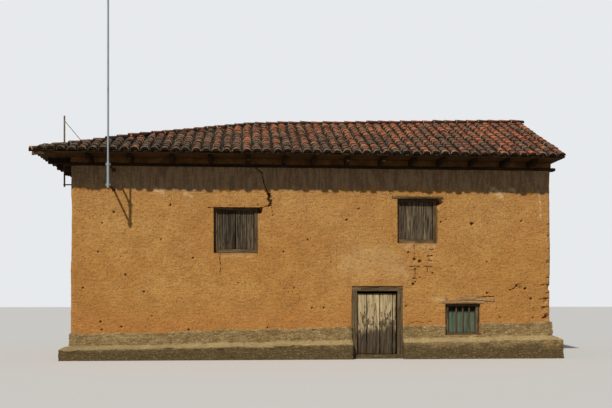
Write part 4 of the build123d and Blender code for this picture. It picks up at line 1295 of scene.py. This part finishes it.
# %% The other walls
for name, node_names in (("mud_wall_back", ("back_wall_upper", "back_wall_lower")),
                         ("mud_wall_left", ("left_wall",)), ("mud_wall_right", ("right_wall",))):
    wall = gridded_wall(name, 0.075, *node_names)
    places = points_of(wall)
    chips = np.clip(rough(places, 0.16, 77.0, 2) - 0.55, 0, 1)
    # Chips get a high number, so the finish paints their hollows dark as shade.
    push_wall(wall, places, mud_push(places) - chips * 0.08, chips * 3, node_names)

# %% [markdown]
# ## Rubble foot
#
# The foot of the wall is field stone in lime with a rough coat, wider at the bottom, and it
# climbs from left to right with the ground. The five packed lengths are joined into one
# mesh and cut into a grid. Two noises shape it: a slow one for the wavy line of the ledge,
# and a cell noise that lets the stones swell through the coat.

# %% Plinth
PLINTH_OUT = 0.26
BEHIND_FRAME = 0.035
AT_THE_DOOR = 0.012
PLINTH_NODES = ("plinth_front_left", "plinth_front_right", "plinth_back", "plinth_left",
                "plinth_right")

foot = solid_copy("rubble_foot", *PLINTH_NODES)
for axis in range(3):
    cut_in_steps(foot, axis, 0.06, lambda f: abs(f.normal.z) < 0.9 or f.normal.z > 0)
places = points_of(foot)
# The two ends at the door run on behind the frame, so that no gap shows beside it.
in_front = places[:, 1] < 0
for end, way in ((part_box("plinth_front_left")[1].x, 1), (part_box("plinth_front_right")[0].x, -1)):
    places[:, 0] += way * BEHIND_FRAME * (in_front & (np.abs(places[:, 0] - end) < AT_THE_DOOR))
out = outward(places, WALL_HALF_X + 0.02, WALL_HALF_Y + 0.02, 0.01)
stones = [noise.voronoi(Vector((x * 3.6, y * 3.6, z * 11.0)))[0] for x, y, z in places]
swell = share_of(np.array([near[1] - near[0] for near in stones]), 0.35)
waves = rough(places, 0.9, 31.0, 2)
lumps = rough(places, 0.17, 37.0, 3)
ridges = rough(places * (1.0, 1.0, 4.5), 0.34, 43.0, 3)
free = share_of(places[:, 2], 0.12)
on_top = normals_of(foot)[:, 2] > 0.4
push = (waves * 0.014 + lumps * 0.016 + ridges * 0.020 + (swell - 0.6) * 0.026) * free
places[:, :2] += out[:, :2] * np.maximum(push, -0.006)[:, None]
base_top = 0.30 + 0.26 * (places[:, 0] + WALL_HALF_X) / (2 * WALL_HALF_X)
on_base = on_top & (places[:, 2] < base_top + 0.08)
rim_x = np.abs(places[:, 0]) - WALL_HALF_X - PLINTH_OUT
rim_y = np.abs(places[:, 1]) - WALL_HALF_Y - PLINTH_OUT
near_rim = np.clip(1 + np.maximum(rim_x, rim_y) / 0.07, 0, 1) * (places[:, 2] > base_top - 0.06)
places[:, 2] -= near_rim * (0.030 + 0.030 * lumps)
uneven = np.where(on_base, waves * 0.03 + lumps * 0.016, waves * 0.04 + lumps * 0.035)
places[:, 2] += np.where(on_top, uneven, 0.0) * free
move_points(foot, places)
# Upward faces of the ledge, which the finish paints paler as a highlight.
write_numbers(foot.data, "ledge", on_base)
smooth_shade(foot, 50)
dress(foot, rubble, "rubble_plinth", stands_for=PLINTH_NODES)

# %% [markdown]
# ## Old timber
#
# Joists, plates, lintels and frames are hewn and sawn timber that has split and worn for a
# century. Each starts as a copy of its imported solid. Its edges are rounded, it is cut across
# every few centimetres, and its points are pushed by a fine noise for the surface and a
# slow one for the bow of the whole stick. Grain must follow each stick, also round a frame
# where posts and rails meet, so every face carries the direction of its grain and the
# finish squeezes its pattern along it.

# %% A finish that follows the grain of each face
GRAIN_SHIFT = (3.1, 5.3, 7.7)


def vector_maths(operation, first, second):
    return add_node(first.id_data, "ShaderNodeVectorMath", {0: first, 1: second},
                    operation=operation).outputs[0]


def stick_material(name, dark, pale, tightness=30.0, bump=0.007):
    """Timber whose faces say which way their grain runs."""
    made, shader, where = new_material(name)
    tone = attribute(where, "tone")
    shift = add_node(where.id_data, "ShaderNodeCombineXYZ", {0: tone, 1: tone, 2: tone}).outputs[0]
    squeezed = vector_maths("MULTIPLY", where, attribute(where, "grain", "Vector"))
    along = vector_maths("ADD", squeezed, vector_maths("MULTIPLY", shift, GRAIN_SHIFT))
    lines = use_group(grain, along, tightness)
    finish_shader(shader, layered(blend(lines["Lines"], dark, pale),
                                  (times(lines["Weather"], 0.45), dark),
                                  (times(tone, 0.35), dark),
                                  (times(lines["Splits"], 0.8), SPLIT_DARK)),
                  (minus(lines["Lines"], lines["Splits"]), bump, 0.9))
    return made


dark_timber = stick_material("dark_eave_timber", (38, 26, 16), (84, 60, 36))
# The boards under the eaves are a paler copy of the joists' timber: painted light thrown up from the
# ground.
soffit_timber_painted_light = stick_material("eave_boards_painted_bounce", (62, 43, 25), (130, 96, 56), 22.0)
frame_timber = stick_material("frame_timber", (66, 52, 35), (152, 128, 92), 34.0)
pale_timber = stick_material("pale_broken_timber", (146, 112, 72), (208, 172, 122))
grey_boards = stick_material("grey_shutter_boards", (34, 27, 20), (166, 146, 116), 34.0, 0.010)
print("stick finishes made")


# %% Weather a stick
def round_edges(piece, width, segments=2):
    use_modifier(piece, "BEVEL", width=width, segments=segments, limit_method="ANGLE",
                 angle_limit=math.radians(40))


def weather_sticks(piece, step, bow, surface, edge):
    """Round, cut and roughen sticks of timber; bow, surface and edge are in metres."""
    round_edges(piece, edge)
    low, high = points_of(piece).min(axis=0), points_of(piece).max(axis=0)
    for axis in range(3):
        if high[axis] - low[axis] > 2 * step:
            cut_in_steps(piece, axis, step)
    places = points_of(piece)
    bend = np.stack([rough(places, 1.1, seed, 1) for seed in (51.0, 57.0, 63.0)], axis=1)
    dents = rough(places, 0.07, 71.0, 2) * surface
    move_points(piece, places + bend * bow + normals_of(piece) * dents[:, None])


def face_centres(piece):
    flat = np.empty(len(piece.data.polygons) * 3, np.float32)
    piece.data.polygons.foreach_get("center", flat)
    return flat.reshape(-1, 3)


def set_grain(piece, axis, tone):
    """Write grain direction and tone on each face, both numbers or functions of its centre."""
    centres = face_centres(piece)
    squeeze = np.ones_like(centres)
    for row, centre in zip(squeeze, centres):
        row[axis(centre) if callable(axis) else axis] = SQUEEZE
    layer = piece.data.attributes.new("grain", "FLOAT_VECTOR", "FACE")
    layer.data.foreach_set("vector", squeeze.ravel())
    tones = [tone(centre) if callable(tone) else tone for centre in centres]
    write_numbers(piece.data, "tone", tones, "FACE")


def tone_here(*parts):
    """A steady pseudo-random number from 0 to 1 for a place."""
    spread = [part * 7.3 + 1.7 for part in parts] + [0.0, 0.0]
    return 0.5 + 0.5 * noise.cell(Vector(spread[:3]))


def weathered_copy(name, node_name, finish, axis, tone, *weathering):
    """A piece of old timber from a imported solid; weathering as in weather_sticks."""
    piece = solid_copy(name, node_name)
    weather_sticks(piece, *weathering)
    set_grain(piece, axis, tone)
    dress(piece, finish, "old_timber", stands_for=[node_name])
    return piece


# %% Joists and wall plates
JOIST_CUT = 0.14
JOISTS_IN_A_METRE = 1.2


def joist_axis(centre):
    """Joists run front to back, but the short ones on the left end run outwards."""
    return 0 if centre[0] < -WALL_HALF_X - 0.02 and abs(centre[1]) < 3.0 else 1


joists = solid_copy("joist_timber", "eave_joists")
round_edges(joists, 0.012)
cut_in_steps(joists, 1, JOIST_CUT)
cut_in_steps(joists, 0, JOIST_CUT,
             lambda face: face.calc_center_median().x < -WALL_HALF_X + 0.4)
places = points_of(joists)
normals = normals_of(joists)
near_end = share_of(np.abs(places[:, 1]) - 3.3, 0.2)
reach = np.array([noise.noise(Vector((round(x * JOISTS_IN_A_METRE) * 3.7, 0.5, 9.0)))
                  for x in places[:, 0]])
places[:, 1] += np.sign(places[:, 1]) * near_end * reach * 0.05
places += normals * (rough(places, 0.08, 71.0, 2) * 0.005)[:, None]
move_points(joists, places)
set_grain(joists, joist_axis, lambda c: tone_here(round(c[0] * JOISTS_IN_A_METRE)))
dress(joists, dark_timber, "old_timber", stands_for=["eave_joists"])

weathered_copy("plate_timber", "wall_plates", dark_timber,
               lambda c: 1 if c[0] < -6.0 and abs(c[1]) < 2.5 else 0,
               lambda c: tone_here(round(c[0] / 4)), 0.12, 0.008, 0.006, 0.012)

# %% [markdown]
# Over the joists lie thin boards that carry the tiles past the wall. They run along the
# wall, and on the hipped end they turn with it and are cut to the hip. One board is
# modelled and laid in rows, each row a little higher or lower than the last.

# %% Eave boards
BOARD_WIDE = 0.178
BOARD_GAP = 0.006
ROWS_IN = 8
board_low, board_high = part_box("eave_boards")
board_thick = board_high.z - board_low.z


def board_rows(name, length, first, turn, axis, cuts):
    """Rows of boards side by side, lying along one axis and starting at this place."""
    thickness = board_thick * 0.9
    board = new_box((0, 0, 0), (length, BOARD_WIDE - BOARD_GAP, thickness))
    round_edges(board, min(0.004, thickness / 5), 1)
    cut_in_steps(board, 0, 0.3)
    turns = []
    for i in range(ROWS_IN):
        shift = Vector((0, first + (i + 0.5) * BOARD_WIDE, board_low.z + board_thick / 2
                        + jitter(0.0015)))
        turns.append(turn @ Matrix.Translation(shift) @ spin(jitter(0.0006), "Z"))
    rows = lay(board, turns, name)
    discard(board)
    across = 1 - axis
    places = points_of(rows)
    places[:, across] += rough(places, 0.35, 83.0, 2) * 0.004
    move_points(rows, places)
    trim(rows, cuts)
    set_grain(rows, axis, lambda c: tone_here(round(c[across] / BOARD_WIDE)))
    # Finished with the paler timber that paints bounce light under the eaves.
    dress(rows, soffit_timber_painted_light, "old_timber", stands_for=["eave_boards"])


span = board_high.x - board_low.x
inwards = ROWS_IN * BOARD_WIDE
along_eaves = Matrix.Translation(((board_high.x + board_low.x) / 2, 0, 0))
board_rows("front_eave_boards", span, -ROOF_RUN, along_eaves, 0, [hip_cut(-1, 1)])
board_rows("back_eave_boards", span, ROOF_RUN - inwards, along_eaves, 0, [hip_cut(1, 1)])
board_rows("end_eave_boards", 2 * ROOF_RUN, -inwards - ROOF_LEFT, spin(math.pi / 2, "Z"), 1,
           [hip_cut(-1, -1), hip_cut(1, -1)])


# %% Lintels and frames
def loose_boxes(node_name):
    """Lowest and highest corner of each separate solid in a node."""
    whole = solid_copy("measured", node_name)
    places = points_of(whole)
    ends = np.array([edge.vertices[:] for edge in whole.data.edges])
    group = np.arange(len(places))
    while (group[ends[:, 0]] != group[ends[:, 1]]).any():
        lowest = group[ends].min(axis=1)
        np.minimum.at(group, ends[:, 0], lowest)
        np.minimum.at(group, ends[:, 1], lowest)
    discard(whole)
    clouds = [places[group == each] for each in np.unique(group)]
    return [(cloud.min(axis=0), cloud.max(axis=0)) for cloud in clouds]


def frame_axis(node_name, head, sill):
    """Grain along x in the head and sill rail of a window frame, upright in its posts."""
    boxes = loose_boxes(node_name)

    def axis_of(centre):
        in_rail = any(low[0] - 0.05 < centre[0] < high[0] + 0.05
                      and np.sign(low[1]) == np.sign(centre[1])
                      and not low[2] + sill <= centre[2] <= high[2] - head
                      for low, high in boxes)
        return 0 if in_rail else 2
    return axis_of


# The lintel of the left window is coated with mud and only its edge shows. The one over
# the small window is a pale plank.
MUD_SLOT, PALE_SLOT = 1, 2
lintels = weathered_copy("lintel_timber", "lintels", frame_timber, 0,
                         lambda c: tone_here(round(c[0])), 0.05, 0.012, 0.009, 0.010)
places = points_of(lintels)
over_left_window = (places[:, 0] < 0) & (places[:, 1] < 0)
coated = np.maximum(places[:, 1], wall_front - 0.008)
places[:, 1] = np.where(over_left_window, coated, places[:, 1])
move_points(lintels, places)
lintels.data.materials.append(mud)
lintels.data.materials.append(pale_timber)
for face, centre in zip(lintels.data.polygons, face_centres(lintels)):
    if centre[1] < 0 and centre[0] < 0:
        face.material_index = MUD_SLOT
    elif centre[1] < 0 and centre[2] < 2.0:
        face.material_index = PALE_SLOT

door_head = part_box("door_frame")[1].z - 0.135
for node_name, axis, edge in (
        ("door_frame", lambda c: 0 if c[2] > door_head else 2, 0.007),
        ("upper_window_frames", frame_axis("upper_window_frames", 0.07, 0.11), 0.006),
        ("small_window_frame", frame_axis("small_window_frame", 0.07, 0.07), 0.006)):
    weathered_copy(node_name + "_timber", node_name, frame_timber, axis,
                   lambda c: tone_here(round(c[0] * 2)), 0.05, 0.003, 0.004, edge)

# %% [markdown]
# ## Shutters, door leaf and the little barred window
#
# All three are planks nailed to ledges. A plank is a box with worn edges, cut along its
# length so that its edges can wander. Each takes a tone of its own, because every plank
# has weathered differently, and its ends are broken a little unevenly.

# %% Planks
PLANK_WIDE = 0.165
LEAF_GAP = 0.022


def plank(low, high, wander=0.003, ragged=0.006):
    """One upright plank between two corners, with worn edges and uneven ends."""
    low, high = Vector(low), Vector(high)
    board = new_box((low + high) / 2, high - low)
    round_edges(board, 0.004)
    cut_in_steps(board, 2, 0.06)
    cut_in_steps(board, 0, 0.03)
    places = points_of(board)
    edge_wave = rough(places * (1, 1, 0.4), 0.12, low.x * 31, 2)
    side = np.sign(places[:, 0] - (low.x + high.x) / 2)
    places[:, 0] -= side * np.abs(edge_wave) * wander
    places[:, 1] += rough(places * (1, 1, 0.08), 0.02, low.x * 17, 2) * 0.0012
    end = rough(places * (1, 1, 0), 0.05, low.x * 11, 2)
    top = share_of(places[:, 2] - high.z + 0.05, 0.05)
    bottom = share_of(low.z + 0.05 - places[:, 2], 0.05)
    places[:, 2] += (bottom - top) * np.abs(end) * ragged
    move_points(board, places)
    return board


def planked(name, low, high, count, tone_seed, gap, depth, darker=0.0):
    """Planks side by side between two corners, joined, with a tone for each."""
    shares = [1.0 + 0.28 * noise.cell(Vector((i * 2.3, tone_seed, 1.0))) for i in range(count)]
    unit = (high[0] - low[0] - gap * (count - 1)) / sum(shares)
    left, boards = low[0], []
    for i, share in enumerate(shares):
        set_in = depth * (0.5 + 0.5 * noise.cell(Vector((i * 5.1, tone_seed, 3.0))))
        board = plank((left, low[1] + set_in, low[2]), (left + share * unit, high[1], high[2]))
        set_grain(board, 2, min(1.4, tone_here(i, tone_seed) + darker))
        boards.append(board)
        left += share * unit + gap
    return join(name, boards)


def finish_boards(piece, *dressing, **more):
    smooth_shade(piece)
    dress(piece, *dressing, **more)


def planks_across(low, high):
    return max(2, round((high[0] - low[0]) / PLANK_WIDE))


# The shutters of the left front window are darker, and a front leaf has shrunk on its right.
shutter_boxes = sorted(loose_boxes("upper_window_shutters"), key=lambda b: (b[0][1], b[0][0]))
print("shutter leaves", [[round(float(v), 2) for v in low] for low, high in shutter_boxes])
leaves = []
for i, (low, high) in enumerate(shutter_boxes):
    if low[1] < 0:
        high[0] -= LEAF_GAP
    leaves.append(planked("leaf", low, high, planks_across(low, high), i * 3.0 + 1.0,
                          0.006, 0.008, 0.75 if low[0] < 0 else 0.14))
finish_boards(join("shutter_planks", leaves), grey_boards, "weathered_boards",
              stands_for=["upper_window_shutters"])

# %% Door leaf
SHRUNK = 0.008
WORN_TOP = 0.060
NARROW_LAST = 0.040
BOARD_TONES = (0.15, 0.0, 0.20, 0.30)
door_boxes = sorted(loose_boxes("door_boards"), key=lambda b: b[0][0])
door_planks = []
for i, (low, high) in enumerate(door_boxes):
    last = NARROW_LAST if i == len(door_boxes) - 1 else SHRUNK
    board = plank((low[0] + SHRUNK, low[1], low[2]),
                  (high[0] - last, high[1], high[2] - WORN_TOP), 0.007, 0.018)
    write_numbers(board.data, "tone", [BOARD_TONES[i % 4]] * len(board.data.polygons), "FACE")
    door_planks.append(board)
finish_boards(join("door_planks", door_planks), door_wood, "weathered_boards", "door_leaf",
              ["door_boards"])

# %% Nails
NAIL_RADIUS = 0.009
PROUD = 0.0005
leaf_low, leaf_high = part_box("door_boards")
ledge_levels = [leaf_low.z + share * (leaf_high.z - leaf_low.z) for share in (0.14, 0.5, 0.86)]
head = new_shape(bpy.ops.mesh.primitive_uv_sphere_add, (1, 0.45, 1), segments=8, ring_count=5,
                 radius=NAIL_RADIUS)


def lay_nails(name, places, body="house"):
    nails = lay(head, [Matrix.Translation(place) for place in places], name)
    smooth_shade(nails, 60)
    dress(nails, iron, "black_iron", body)


places = []
for low, high in door_boxes:
    wide = high[0] - low[0]
    for level in ledge_levels:
        for share in ((0.22, 0.78) if wide > 0.2 else (0.5,)):
            for drop in (-0.03, 0.03):
                places.append((low[0] + share * wide + jitter(0.008), low[1] - PROUD,
                               level + drop + jitter(0.006)))
lay_nails("door_nails", places, "door_leaf")

places = []
for low, high in shutter_boxes:
    face_y = low[1] - PROUD + 0.004 if low[1] < 0 else high[1] + PROUD - 0.004
    count = planks_across(low, high)
    for i in range(count):
        for level in (0.18, 0.82):
            places.append((low[0] + (i + 0.5) * (high[0] - low[0]) / count, face_y,
                           low[2] + level * (high[2] - low[2]) + jitter(0.01)))
lay_nails("shutter_nails", places)
discard(head)

# %% Small window: faded green boards behind three wooden bars
BAR = 0.034
BAR_IN_RAIL = 0.05
BARS = ((3.89, 0.008), (4.08, -0.006), (4.25, 0.004))
panel_low, panel_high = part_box("small_window_panel")
finish_boards(planked("green_boards", panel_low, panel_high, 4, 9.0, 0.004, 0.003), painted,
              "painted_board", stands_for=["small_window_panel"])

frame_low, frame_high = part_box("small_window_frame")
bar_y = panel_low.y - 0.05
bars = []
for x, lean in BARS:
    bar = plank((x - BAR / 2, bar_y - BAR / 2, frame_low.z + BAR_IN_RAIL),
                (x + BAR / 2, bar_y + BAR / 2, frame_high.z - BAR_IN_RAIL), 0.002, 0.0)
    places = points_of(bar)
    places[:, 0] += lean * (places[:, 2] - frame_low.z) / (frame_high.z - frame_low.z)
    move_points(bar, places)
    set_grain(bar, 2, 0.2)
    bars.append(bar)
finish_boards(join("window_bars", bars), frame_timber, "old_timber")

# %% [markdown]
# Over the small window a second, broken plank lies bedded in the mud, higher than the
# first and further to the right. It is split and bowed, so it gets a stronger push.

# %% Broken plank over the small window
plank_low = Vector((3.86, wall_front - 0.022, 1.585))
plank_high = Vector((4.93, wall_front + 0.12, 1.665))
broken = new_box((plank_low + plank_high) / 2, plank_high - plank_low)
broken.name = "broken_plank"
weather_sticks(broken, 0.03, 0.010, 0.012, 0.010)
places = points_of(broken)
share = (places[:, 0] - plank_low.x) / (plank_high.x - plank_low.x)
places[:, 2] += 0.02 * np.sin(share * 5.0) + rough(places, 0.09, 91.0, 2) * 0.012
move_points(broken, places)
set_grain(broken, 0, 0.1)
dress(broken, pale_timber, "old_timber")

# %% [markdown]
# ## Masts
#
# The tall mast is a galvanised tube in a sleeve, held off the wall by two arms. Each arm
# ends in a clamp round the tube with two bolts, and in a plate with bolts on the wall. A
# plastic cap closes the top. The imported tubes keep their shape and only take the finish.

# %% Clamps, bolts and caps
ARM_LEVELS = (4.54, 5.06)
SERVICE_LEVELS = (4.71, 5.07)
BOLT_RADIUS = 0.009
CAP_RADIUS = 0.0265


def middle_of(node_name):
    low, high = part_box(node_name)
    return Vector(((low.x + high.x) / 2, (low.y + high.y) / 2, 0))


def clamp(radius, height):
    """A band round an upright tube with two ears behind."""
    band = new_shape(bpy.ops.mesh.primitive_cylinder_add, vertices=24, radius=radius + 0.006,
                     depth=height, end_fill_type="NOTHING")
    use_modifier(band, "SOLIDIFY", thickness=0.005, offset=-1.0)
    parts = [band]
    for side in (-1, 1):
        parts.append(new_box((side * (radius + 0.015), 0, 0), (0.026, 0.012, height)))
        round_edges(parts[-1], 0.002, 1)
    return join("clamp", parts)


mast_place = middle_of("mast")
for name, place, levels, turn, radius, height, finish in (
        ("mast_clamps", mast_place, ARM_LEVELS, 0.0, 0.035, 0.05, tube),
        ("service_clamps", middle_of("service_mast"), SERVICE_LEVELS, math.pi / 2, 0.0225, 0.04,
         worn_tube)):
    band = clamp(radius, height)
    clamps = lay(band, [Matrix.Translation(place + Vector((0, 0, level))) @ spin(turn, "Z")
                        for level in levels], name)
    discard(band)
    smooth_shade(clamps)
    dress(clamps, finish, "galvanised_tube")

bolt = new_shape(bpy.ops.mesh.primitive_cylinder_add, vertices=6, radius=BOLT_RADIUS,
                 depth=0.012, rotation=(math.pi / 2, 0, 0))
round_edges(bolt, BOLT_RADIUS * 0.12, 1)
turns = []
for level in ARM_LEVELS:
    for side in (-1, 1):
        turns.append(Matrix.Translation(mast_place + Vector((side * 0.052, -0.010, level))))
        for drop in (-1, 1):
            turns.append(Matrix.Translation((mast_place.x + side * 0.032, wall_front - 0.012,
                                             level + drop * 0.032)))
dress(lay(bolt, turns, "mast_bolts"), iron, "galvanised_tube")
discard(bolt)

bpy.ops.object.select_all(action="DESELECT")
bpy.ops.mesh.primitive_uv_sphere_add(segments=20, ring_count=10, radius=CAP_RADIUS)
cap = bpy.context.object
cap.name = "mast_cap"
places = points_of(cap)
places[:, 2] = np.where(places[:, 2] > 0, places[:, 2] * 0.5, np.maximum(places[:, 2], -0.02))
places += np.array([mast_place.x, mast_place.y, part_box("mast")[1].z])
move_points(cap, places)
smooth_shade(cap, 50)
dress(cap, iron, "black_iron")
print("masts dressed")
